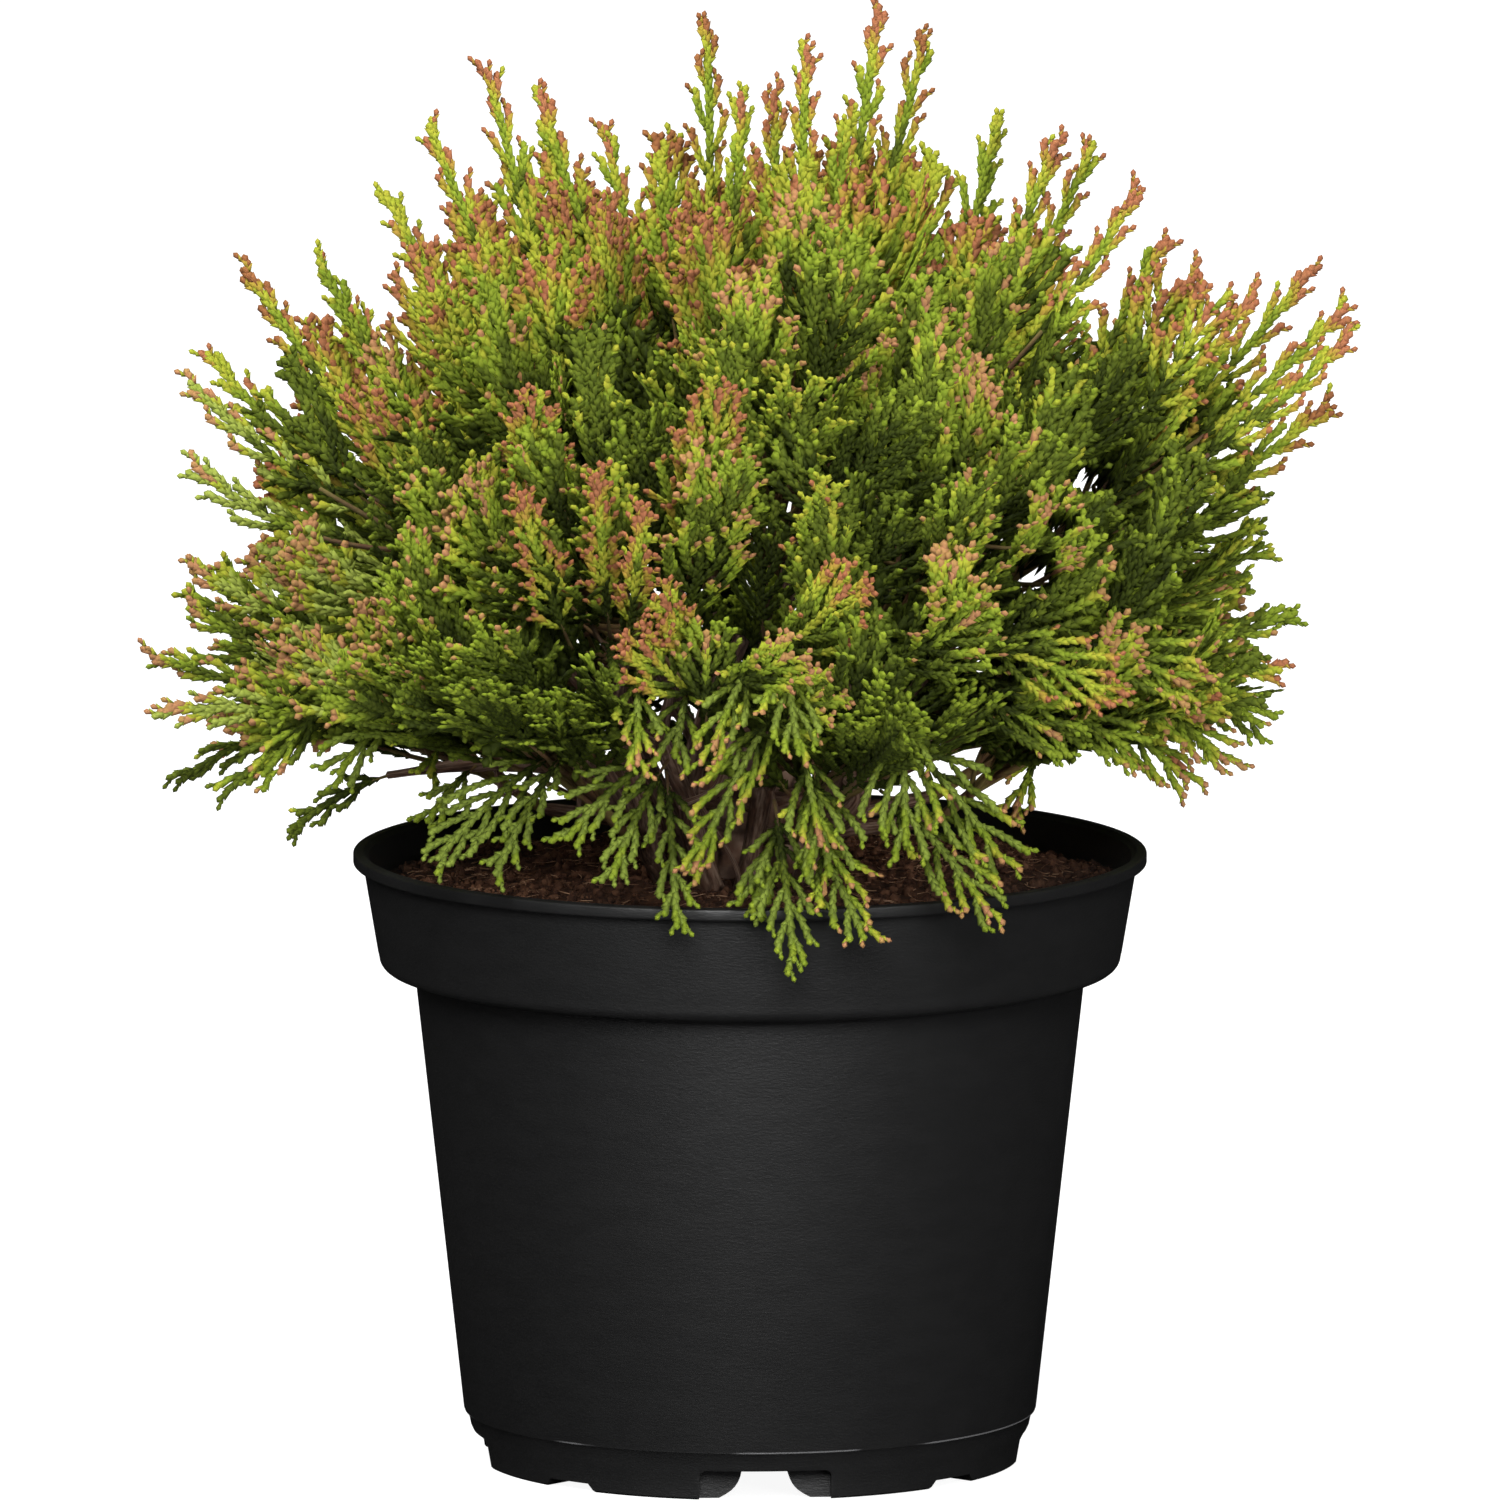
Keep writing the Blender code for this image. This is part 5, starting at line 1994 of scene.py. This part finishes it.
@dataclass
class Crown:
    """The foliage of all the masses, grown on from their boughs."""

    plan: CrownPlan
    grower: SprayGrower = field(default_factory=SprayGrower)
    spray_half_width: float = 13.0 * MM
    stoutness: float = 1.15
    leafy_from: float = 0.27
    outer_depths: tuple[float, float] = (0.0, 0.07)
    inner_depths: tuple[float, float] = (0.14, 0.24)
    companion_depths: tuple[float, float] = (0.12, 0.28)
    companion_share: float = 0.5
    companion_swing: tuple[float, float] = (7.0, 17.0)
    inner_sprays: int = 4
    inner_swing: tuple[float, float] = (8.0, 26.0)
    lift_share: float = 0.46
    hem_elevation: float = 12.0
    hem_azimuths: tuple[float, float] = (236.0, 304.0)
    silver_patch: tuple[float, float, float] = (196.0, 26.0, 17.0)
    view: Vector = field(default_factory=lambda: unit(FRONT, CAMERA_ELEVATION))
    fullest: float = 0.96
    fullness_drop: float = 0.08
    top_drop: float = 0.035
    edge_spread: float = 0.45
    spike_arch: float = 14.0 * MM
    # Painted light low at the front right; painted shade at the front middle, at the right and high on the
    # right.
    patches: tuple[PaintedLightPatch, ...] = (
        PaintedLightPatch(318.0, 8.0, 26.0, 0.8),
        PaintedLightPatch(274.0, 24.0, 22.0, -0.75),
        PaintedLightPatch(334.0, 30.0, 24.0, -0.7),
        PaintedLightPatch(322.0, 50.0, 20.0, -0.35),
    )
    hem: tuple[Placed, ...] = (
        Placed(Spot(565, 750, -62), Spot(438, 862, -84), 9.0 * MM, Look.FERNY),
        Placed(Spot(572, 748, -66), Spot(497, 878, -88), 4.0 * MM, Look.FERNY),
        Placed(Spot(668, 752, -78), Spot(566, 842, -97), 7.0 * MM, Look.FERNY),
        Placed(Spot(670, 760, -80), Spot(612, 882, -100), 5.0 * MM, Look.FERNY),
        Placed(Spot(668, 770, -80), Spot(679, 931, -104), 5.0 * MM, Look.FERNY),
        Placed(Spot(795, 684, -92), Spot(692, 876, -108), 8.0 * MM, Look.TIPPED),
        Placed(Spot(800, 745, -96), Spot(822, 850, -110), 8.0 * MM, Look.TIPPED),
        Placed(Spot(690, 690, -92), Spot(676, 762, -106), 7.0 * MM, Look.TIPPED),
        Placed(Spot(775, 800, -84), Spot(795, 964, -107), 8.0 * MM, Look.FERNY),
        Placed(Spot(785, 812, -84), Spot(752, 916, -100), 6.0 * MM, Look.FERNY),
        Placed(Spot(800, 820, -86), Spot(866, 941, -108), 8.0 * MM, Look.TIPPED),
        Placed(Spot(812, 760, -88), Spot(830, 880, -104), 10.0 * MM, Look.TIPPED),
        Placed(Spot(880, 790, -80), Spot(992, 918, -100), 10.0 * MM, Look.TIPPED),
        Placed(Spot(900, 740, -86), Spot(1004, 866, -96), 11.0 * MM, Look.TIPPED),
        Placed(Spot(900, 700, -92), Spot(905, 850, -110), 11.0 * MM, Look.TIPPED),
        Placed(Spot(640, 660, -92), Spot(640, 770, -112), 5.0 * MM, Look.TIPPED),
        Placed(Spot(760, 650, -98), Spot(712, 755, -116), 6.0 * MM, Look.TIPPED),
        Placed(Spot(780, 640, -98), Spot(800, 760, -118), 8.0 * MM, Look.TIPPED),
        Placed(Spot(396, 774, -32), Spot(287, 835, -32), 2.5 * MM, Look.LEAFY),
        Placed(Spot(478, 766, -36), Spot(427, 826, -44), 3.0 * MM, Look.FERNY),
        Placed(Spot(1040, 680, -40), Spot(1190, 785, -52), 10.0 * MM, Look.GREEN),
        Placed(Spot(1080, 660, -45), Spot(1229, 767, -58), 9.0 * MM, Look.GREEN),
        Placed(Spot(1100, 645, -40), Spot(1264, 730, -48), 9.0 * MM, Look.GREEN),
        Placed(Spot(1000, 690, -62), Spot(1130, 752, -74), 10.0 * MM, Look.GREEN),
        Placed(Spot(930, 690, -76), Spot(1062, 742, -92), 11.0 * MM, Look.GREEN),
        Placed(Spot(960, 650, -80), Spot(1104, 694, -98), 11.0 * MM, Look.LIMY),
        Placed(Spot(1040, 640, -64), Spot(1190, 690, -78), 11.0 * MM, Look.GREEN),
        Placed(Spot(440, 748, -30), Spot(432, 782, -36), 2.5 * MM, Look.LEAFY),
        Placed(Spot(1040, 752, -20), Spot(1012, 822, -28), 3.0 * MM, Look.GREEN),
        Placed(Spot(340, 700, -20), Spot(262, 780, -28), 6.0 * MM, Look.GREEN),
        Placed(Spot(400, 712, -30), Spot(338, 778, -36), 6.0 * MM, Look.FERNY),
    )
    front: tuple[Placed, ...] = (
        Placed(Spot(613, 640, -84), Spot(600, 473, -112), 3.5 * MM, Look.COPPERY),
        Placed(Spot(630, 650, -90), Spot(646, 506, -118), 3.0 * MM, Look.COPPERY),
        Placed(Spot(575, 650, -84), Spot(523, 492, -112), 5.0 * MM, Look.LIMY),
        Placed(Spot(545, 540, -80), Spot(535, 398, -108), 8.0 * MM, Look.COPPERY),
        Placed(Spot(690, 580, -84), Spot(722, 390, -112), 12.0 * MM, Look.LIMY),
        Placed(Spot(705, 590, -88), Spot(742, 460, -114), 8.0 * MM, Look.GREEN),
        Placed(Spot(800, 610, -88), Spot(828, 490, -116), 7.0 * MM, Look.LIMY),
        Placed(Spot(873, 670, -90), Spot(980, 612, -110), 11.0 * MM, Look.GREEN),
        Placed(Spot(920, 600, -86), Spot(973, 486, -108), 10.0 * MM, Look.GREEN),
        Placed(Spot(763, 660, -92), Spot(852, 585, -118), 11.0 * MM, Look.LIMY),
        Placed(Spot(707, 665, -96), Spot(662, 594, -118), 5.0 * MM, Look.COPPERY),
        Placed(Spot(713, 690, -98), Spot(796, 652, -120), 8.0 * MM, Look.GREEN),
        # The DARK sprays stand deeper in the crown; their dark look is painted shade.
        Placed(Spot(765, 640, -70), Spot(757, 510, -96), 12.0 * MM, Look.DARK),
        Placed(Spot(820, 620, -72), Spot(908, 522, -98), 13.0 * MM, Look.DARK),
        Placed(Spot(800, 540, -72), Spot(905, 412, -98), 15.0 * MM, Look.DARK),
        Placed(Spot(780, 500, -74), Spot(800, 395, -100), 13.0 * MM, Look.LEAFY),
        Placed(Spot(650, 590, -66), Spot(668, 460, -92), 13.0 * MM, Look.DARK),
        Placed(Spot(705, 700, -94), Spot(640, 640, -114), 9.0 * MM, Look.LIMY),
        Placed(Spot(708, 728, -98), Spot(708, 628, -112), 8.0 * MM, Look.GREEN),
        Placed(Spot(738, 712, -94), Spot(832, 690, -112), 9.0 * MM, Look.GREEN),
        Placed(Spot(560, 700, -84), Spot(478, 640, -108), 11.0 * MM, Look.GREEN),
        Placed(Spot(480, 620, -40), Spot(398, 486, -70), 12.0 * MM, Look.DARK),
        Placed(Spot(470, 580, -50), Spot(428, 446, -76), 11.0 * MM, Look.LEAFY),
        Placed(Spot(1130, 430, -10), Spot(1214, 300, -14), 9.0 * MM, Look.LIMY),
        Placed(Spot(1120, 400, 0), Spot(1168, 286, 0), 9.0 * MM, Look.COPPERY),
        # Deeper DARK sprays behind the opening; their dark look is painted shade.
        Placed(Spot(745, 700, -34), Spot(762, 588, -60), 10.0 * MM, Look.DARK),
        Placed(Spot(800, 700, -40), Spot(838, 592, -62), 10.0 * MM, Look.DARK),
        Placed(Spot(690, 700, -40), Spot(712, 604, -62), 8.0 * MM, Look.DARK),
    )
    spikes: tuple[Spot, ...] = (
        Spot(1350, 303, 5), Spot(1352, 332, -20), Spot(1332, 402, 15), Spot(1300, 611, 0),
        Spot(1283, 671, -25), Spot(1230, 766, -15), Spot(1192, 784, -30), Spot(1170, 234, 10),
        Spot(1136, 190, -15), Spot(1096, 139, 15), Spot(1058, 140, -10), Spot(1002, 114, 10),
        Spot(926, 34, 5), Spot(880, 4, 0), Spot(808, 45, -8), Spot(706, 18, 0), Spot(742, 92, -20),
        Spot(606, 124, 5), Spot(540, 88, 10), Spot(487, 68, -5), Spot(430, 124, -15), Spot(386, 190, 0),
        Spot(318, 258, 5), Spot(245, 267, -10), Spot(206, 350, 8), Spot(190, 380, -15), Spot(194, 462, -25),
        Spot(190, 608, -10), Spot(149, 655, 0), Spot(158, 712, -20), Spot(174, 786, -5),
        Spot(216, 806, -25), Spot(1200, 268, 0), Spot(1256, 290, -15), Spot(1316, 264, 10),
        Spot(188, 562, -5), Spot(660, 150, 0), Spot(776, 88, 10), Spot(850, 120, -10),
    )

    def look_for(self, direction: Vector, depth: float, chance: Random) -> Look:
        """Choose how a spray is coloured from where it points.

        Args:
            direction: The spray's direction from the crown's root.
            depth: How far its tip lies inside the crown, as a share of the crown's reach.
            chance: The spray's own random draws.

        Returns:
            The look.
        """
        elevation = math.degrees(math.asin(max(-1.0, min(1.0, direction.z))))
        azimuth, height, spread = self.silver_patch
        if math.degrees(direction.angle(unit(azimuth, height))) < spread and chance.random() < 0.75:
            return Look.SILVERY
        # Higher sprays take more coppery and lime looks. Deeper sprays and sprays that face the front take
        # darker looks as painted shade; the patches add painted light or painted shade.
        blush = elevation / 72.0 + chance.uniform(-0.36, 0.36) - 2.9 * depth - 0.4 * max(0.0, -direction.y)
        blush += sum(patch.at(direction) for patch in self.patches)
        if blush < -0.2:
            return Look.DARK
        if blush > 0.9:
            return Look.RUSTY if chance.random() < 0.25 else Look.COPPERY
        if blush > 0.6:
            return Look.COPPERY if chance.random() < 0.4 else Look.LIMY
        if blush > 0.3:
            return Look.LIMY if chance.random() < 0.45 else Look.GREEN
        return Look.GREEN if chance.random() < 0.6 else Look.LEAFY

    def heading(self, direction: Vector, chance: Random) -> Vector:
        """Return the way a spray's tip points: out of the crown, and turned up towards the light.

        Args:
            direction: The spray's direction from the crown's root.
            chance: The spray's own random draws.

        Returns:
            The heading, one unit long.
        """
        azimuth = math.degrees(math.atan2(direction.y, direction.x))
        elevation = math.degrees(math.asin(max(-1.0, min(1.0, direction.z))))
        facing = min(1.0, 1.3 * abs(direction.y))
        rise = max(0.0, min(1.0, (elevation - 4.0 + 4.0 * facing) / (22.0 - 8.0 * facing)))
        share = min(0.96, rise * (self.lift_share + 0.36 * facing) * chance.uniform(0.75, 1.2))
        drift = chance.uniform(-9.0, 9.0)
        return unit(azimuth + drift, elevation + (90.0 - elevation) * share + chance.uniform(-6.0, 4.0))

    def across(self, heading: Vector, chance: Random) -> Vector:
        """Return a spray's widest direction: facing the front or out, give or take a turn.

        Args:
            heading: The way the spray points.
            chance: The spray's own random draws.

        Returns:
            The direction, one unit long.
        """
        facing = heading.cross(self.view)
        if facing.length < 0.35:
            facing = heading.cross(UP)
        if facing.length < 0.05:
            facing = Vector((1.0, 0.0, 0.0))
        turn = chance.gauss(0.0, 0.5) if chance.random() < 0.85 else chance.uniform(0.0, math.pi)
        return Matrix.Rotation(turn, 3, heading) @ facing.normalized()

    def fullness(self, direction: Vector) -> float:
        """Return how far the filling sprays reach at most; less at the outline, which the spikes shape.

        Args:
            direction: A direction from the crown's root.

        Returns:
            A share of the crown's reach.
        """
        edge = max(0.0, 1.0 - abs(direction.y) / self.edge_spread)
        top = max(0.0, 4.0 * direction.z - 3.0)
        return self.fullest - self.fullness_drop * min(1.0, 2.0 * edge) - self.top_drop * top

    def build(self) -> None:
        """Grow every mass, then the sprays of the outline and of the front hem."""
        masses = self.plan.masses()
        for mass in masses:
            self.grow_stem(mass)
            for number in range(mass.tier.sprays):
                self.grow_spray(mass, number)
            self.grow_inner(mass)
        for number, spike in enumerate(self.spikes):
            self.grow_spike(masses, number, spike.world())
        for number, spray in enumerate(self.hem):
            self.grow_placed(f"hem-{number}", spray, -0.5, 36.0)
        for number, spray in enumerate(self.front):
            self.grow_placed(f"front-{number}", spray, 0.3, 34.0)

    def grow_stem(self, mass: Mass) -> None:
        """Grow a mass's stem on from its bough's tip."""
        foot, tip = self.plan.stem_line(mass)
        line = curve_points(foot, foot.lerp(tip, 0.5) + UP * MM, tip, 9)
        self.grower.twigs.add(line, np.linspace(1.5, 0.7, 9) * MM, 7)

    def is_clear(self, direction: Vector) -> bool:
        """Tell whether a direction belongs to the stems' opening or to the space over the front hem."""
        azimuth = math.degrees(math.atan2(direction.y, direction.x)) % 360.0
        low = math.degrees(math.asin(direction.z)) < self.hem_elevation
        first, last = self.hem_azimuths
        return self.plan.in_window(direction) or (low and first < azimuth < last)

    @staticmethod
    def lifted(tip: Vector, chance: Random) -> Vector:
        """Return a tip, raised to just over the crown's lower edge where it lies below that."""
        return HEM.lift(tip, chance.uniform(1.0, 12.0) * MM)

    def grow_along(
        self, root: Vector, tip: Vector, direction: Vector, shape: SprayShape, chance: Random,
    ) -> Curve:
        """Grow a spray from a root to a tip, turned up at its end, and return its line.

        Args:
            root: Where its twig starts.
            tip: Where it ends.
            direction: The tip's direction from the crown's root.
            shape: The spray's size and habit.
            chance: The spray's own random draws.
        """
        heading = self.heading(direction, chance)
        curve = (root, HEM.lift(tip - heading * (0.5 * (tip - root).length), 0.0), tip)
        across = self.across(heading, chance)
        if shape.turned:
            across = Matrix.Rotation(chance.uniform(0.0, math.pi), 3, heading) @ across
        self.grower.grow(curve, across, shape, chance)
        return curve

    def grow_spray(self, mass: Mass, number: int) -> None:
        """Grow one of the mass's sprays and the smaller ones that branch from it.

        Args:
            mass: The mass.
            number: The spray's number.
        """
        chance = Random(f"{mass.name}-{number}")
        root, _, tip, direction = self.plan.spray_curve(mass, number, chance)
        placed = math.degrees(direction.angle(self.plan.placed_front)) < self.plan.placed_half_angle
        if self.is_clear(direction) or placed:
            return
        width = self.spray_half_width * chance.uniform(0.75, 1.1)
        depth = chance.uniform(*(self.inner_depths if number % 2 else self.outer_depths))
        look = self.look_for(direction, depth, chance)
        shape = SprayShape(width, self.leafy_from, look, chance.uniform(0.0, 0.2), coarse=self.stoutness)
        end = self.lifted(self.plan.root.lerp(tip, self.fullness(direction) - depth), chance)
        curve = self.grow_along(root, end, direction, shape, chance)
        if chance.random() < self.companion_share:
            self.grow_companion(curve, direction, chance)

    def grow_companion(self, curve: Curve, direction: Vector, chance: Random) -> None:
        """Grow a smaller spray that branches off a spray's line.

        Args:
            curve: The spray's line.
            direction: The spray's direction from the crown's root.
            chance: The spray's own random draws.
        """
        start = bezier(*curve, chance.uniform(0.12, 0.4))
        aim = swung(direction, self.companion_swing, chance)
        if self.is_clear(aim) or aim.z < 0.03:
            return
        depth = chance.uniform(*self.companion_depths)
        look = self.look_for(aim, depth, chance)
        reach = self.plan.reach(aim) * (self.fullness(aim) - depth)
        end = self.lifted(self.plan.root + aim * reach, chance)
        width = self.spray_half_width * chance.uniform(0.65, 0.95)
        shape = SprayShape(width, 0.25, look, chance.uniform(0.0, 0.2), coarse=self.stoutness, turned=True)
        self.grow_along(start, end, aim, shape, chance)

    def grow_inner(self, mass: Mass) -> None:
        """Grow a few short shaded sprays near the foot of a mass's stem.

        Args:
            mass: The mass.
        """
        foot, tip = self.plan.stem_line(mass)
        for number in range(self.inner_sprays + (2 if mass.axis.y > 0.0 else 0)):
            chance = Random(f"{mass.name}-inner-{number}")
            start = foot.lerp(tip, chance.uniform(0.1, 0.8))
            aim = swung(mass.axis, self.inner_swing, chance)
            if self.is_clear(aim) or aim.z < 0.05:
                continue
            reach = self.plan.reach(aim) * chance.uniform(0.6, 0.78)
            end = self.lifted(self.plan.root + aim * reach, chance)
            shape = SprayShape(15.0 * MM, 0.2, Look.SHADED, 0.1, 3, 1.6)
            self.grow_along(start, end, aim, shape, chance)

    def grow_spike(self, masses: list[Mass], number: int, tip: Vector) -> None:
        """Grow a narrow spray to one of the tips that shape the outline.

        Args:
            masses: The masses, the nearest of which carries the spray.
            number: The spray's number.
            tip: Its tip.
        """
        chance = Random(f"spike-{number}")
        away = tip - self.plan.root
        direction = away.normalized()
        nearest = min(masses, key=lambda mass: direction.angle(mass.axis))
        foot, stem_tip = self.plan.stem_line(nearest)
        root = foot.lerp(stem_tip, chance.uniform(0.5, 0.95))
        look = self.look_for(direction, -0.1, chance)
        shape = SprayShape(5.5 * MM, 0.3, look, 0.05, 4, 1.0, 6.0 * MM, 1.0, 30.0, 1)
        heading = direction.lerp(self.heading(direction, chance), 0.35).normalized()
        handle = HEM.lift(tip - heading * (0.5 * (tip - root).length), self.spike_arch)
        facing = heading.cross(self.view).normalized()
        across = Matrix.Rotation(chance.uniform(-0.5, 0.5), 3, heading) @ facing
        self.grower.grow((root, handle, tip), across, shape, chance)

    def grow_placed(self, name: str, spray: Placed, rise: float, angle: float) -> None:
        """Grow one spray whose places are read from the photograph.

        Args:
            name: The seed of its draws.
            spray: Its places and its look.
            rise: How far its line bends: up and then down below 0, out and then up above it.
            angle: The angle of its branchlets in degrees.
        """
        chance = Random(name)
        root = spray.root.world()
        tip = spray.tip.world()
        length = (tip - root).length
        outward = unit(FRONT, 0.0)
        bend = outward * abs(rise) - UP * rise
        handle = root.lerp(tip, 0.45) + bend * (0.3 * length)
        facing = (tip - root).cross(self.view).normalized()
        across = Matrix.Rotation(chance.uniform(-0.35, 0.35), 3, tip - root) @ facing
        gap, coarse, buds = (3, 0.9, 1) if rise < 0.0 else (2, 1.0, 2)
        shape = SprayShape(spray.half_width, 0.15, spray.look, 0.05, gap, coarse, 1.0, 0.7, angle, buds)
        self.grower.grow((root, handle, tip), across, shape, chance)


def smooth_line(points: list[Vector], count: int) -> Array:
    """Return points of a smooth line through some places.

    Args:
        points: The places.
        count: The number of points between each two places.

    Returns:
        The line's points as rows.
    """
    ends = [points[0] * 2.0 - points[1], *points, points[-1] * 2.0 - points[-2]]
    rows = []
    for before, first, second, after in zip(ends, ends[1:], ends[2:], ends[3:]):
        for step in range(count):
            t = step / count
            bend = (before * 2.0 - first * 5.0 + second * 4.0 - after) * (t * t)
            turn = (first * 3.0 - before - second * 3.0 + after) * (t * t * t)
            rows.append((first * 2.0 + (second - before) * t + bend + turn) * 0.5)
    rows.append(points[-1])
    return np.array([row[:] for row in rows])


@dataclass(frozen=True)
class Stem:
    """A stem or a bare branch: its places in the photograph, and its end radii in millimetres."""

    foot: float
    tip: float
    spots: tuple[Spot, ...]


@dataclass
class Woodwork:
    """The trunk, the boughs and the bare stems, in stringy bark."""

    plan: CrownPlan
    stem_rings: int = 16
    stems: tuple[Stem, ...] = (
        Stem(3.4, 2.2, (Spot(700, 893, -22), Spot(672, 815, -30), Spot(640, 745, -40), Spot(612, 660, -50))),
        Stem(3.2, 2.3, (Spot(712, 895, -26), Spot(690, 800, -40), Spot(712, 712, -48), Spot(742, 640, -52))),
        Stem(3.0, 2.0, (Spot(745, 893, -25), Spot(762, 805, -36), Spot(776, 720, -44), Spot(812, 640, -50))),
        Stem(3.6, 2.2, (Spot(806, 880, -20), Spot(830, 810, -34), Spot(858, 740, -44), Spot(884, 660, -52))),
        Stem(3.2, 1.8, (Spot(668, 880, -15), Spot(628, 810, -28), Spot(590, 745, -38), Spot(548, 680, -46))),
        Stem(2.2, 1.4, (Spot(655, 872, -12), Spot(640, 800, -46), Spot(620, 725, -56), Spot(625, 660, -62))),
        Stem(2.0, 1.3, (Spot(690, 800, -44), Spot(664, 740, -54), Spot(672, 690, -60), Spot(655, 640, -64))),
        Stem(1.9, 1.3, (Spot(752, 720, -54), Spot(733, 752, -58), Spot(719, 789, -60), Spot(682, 806, -56))),
        Stem(2.3, 1.1, (
            Spot(640, 812, -24), Spot(585, 778, -32), Spot(532, 765, -34),
            Spot(465, 766, -34), Spot(390, 775, -32),
        )),
        Stem(0.8, 0.5, (Spot(498, 767, -34), Spot(501, 782, -36), Spot(506, 795, -38), Spot(527, 786, -38))),
        Stem(0.8, 0.5, (Spot(702, 805, -52), Spot(722, 838, -58), Spot(738, 868, -60), Spot(742, 893, -60))),
        Stem(0.8, 0.5, (Spot(590, 760, -46), Spot(582, 790, -50), Spot(581, 808, -52), Spot(584, 824, -52))),
        Stem(3.0, 1.6, (Spot(828, 826, -36), Spot(852, 812, -44), Spot(862, 796, -46), Spot(848, 778, -44))),
    )
    trunk_sides: int = 96
    trunk_rings: int = 80
    bough_sides: int = 18
    bough_rings: int = 60

    def build_trunk(self, material: Material) -> None:
        """Build the trunk from its cut on the peat to its fork.

        Args:
            material: The bark.
        """
        plan = self.plan
        levels = np.linspace(plan.trunk_foot, plan.trunk_top, self.trunk_rings)
        line = np.array([plan.trunk_middle(level)[:] for level in levels])
        radii = np.array([plan.trunk_radius_at(level) for level in levels])
        run = levels - levels[0]
        relief = bark_relief(run, self.trunk_sides, 5, 9, 0.14)
        turns = np.arange(self.trunk_sides) * (math.tau / self.trunk_sides)
        twist = turns[None] + 0.9 * (run / run[-1])[:, None]
        relief = relief - 0.22 * np.abs(np.sin(3.0 * twist + 0.6)) ** 6 - 0.06 * np.sin(2.0 * twist)
        tubes = TubeBank()
        tubes.add(line, radii, self.trunk_sides, relief)
        finish_piece(tubes.join("trunk_bark"), material, ["trunk"])

    def build_boughs(self, material: Material) -> None:
        """Build the boughs, each from inside the trunk to where its mass begins.

        Args:
            material: The bark.
        """
        tubes = TubeBank()
        for number, mass in enumerate(self.plan.masses()):
            line = curve_points(*self.plan.bough_curve(mass), self.bough_rings)
            radii = np.linspace(mass.tier.bough_radius, self.plan.bough_tip_radius, self.bough_rings)
            run = run_along(line)
            tubes.add(line, radii, self.bough_sides, bark_relief(run, self.bough_sides, 20 + number, 4, 0.2))
        finish_piece(tubes.join("bough_bark"), material, node_names("bough_"))

    def build_stems(self, material: Material) -> None:
        """Build the thinner stems that stand round the trunk, and the bare branches.

        Args:
            material: The bark.
        """
        tubes = TubeBank()
        for number, stem in enumerate(self.stems):
            line = smooth_line([spot.world() for spot in stem.spots], self.stem_rings)
            steps = np.linspace(0.0, 1.0, len(line))
            run = run_along(line)
            wobble = 1.0 + 0.12 * np.sin(run / (7.0 * MM) + number)
            foot, tip = stem.foot * MM, stem.tip * MM
            radii = (foot + (tip - foot) * steps) * wobble
            tubes.add(line, radii, 14, bark_relief(run, 14, 70 + number, 4, 0.22))
        finish_piece(tubes.join("stem_bark"), material, ["trunk"])


def main() -> None:
    """Build the studio, the pot, the peat, the limbs and the crown."""
    logging.basicConfig(level=logging.INFO, format="%(message)s")
    Studio().build()
    pot = NurseryPot()
    pot.build(BlackPlastic().build())
    soil = PeatFinish("peat_soil", rgba(0.028, 0.012, 0.007), rgba(0.085, 0.038, 0.020)).build()
    crumb = PeatFinish("peat_crumb", rgba(0.045, 0.019, 0.011), rgba(0.140, 0.066, 0.036), 300.0).build()
    fibre = PeatFinish(
        "peat_fibre", rgba(0.150, 0.072, 0.040), rgba(0.42, 0.25, 0.15), 120.0, 0.1 * MM
    ).build()
    PeatFill(pot).build(soil, crumb, fibre)
    plan = CrownPlan()
    bark = BarkFinish().build()
    wood = Woodwork(plan)
    wood.build_trunk(bark)
    wood.build_boughs(bark)
    wood.build_stems(bark)
    crown = Crown(plan)
    crown.build()
    twigs = crown.grower.twigs.join("twigs")
    finish_piece(twigs, TwigFinish().build(), node_names("foliage_"))
    crown.grower.leaves.join({tone: finish.build() for tone, finish in LEAF_FINISHES.items()})


if __name__ == "__main__":
    main()
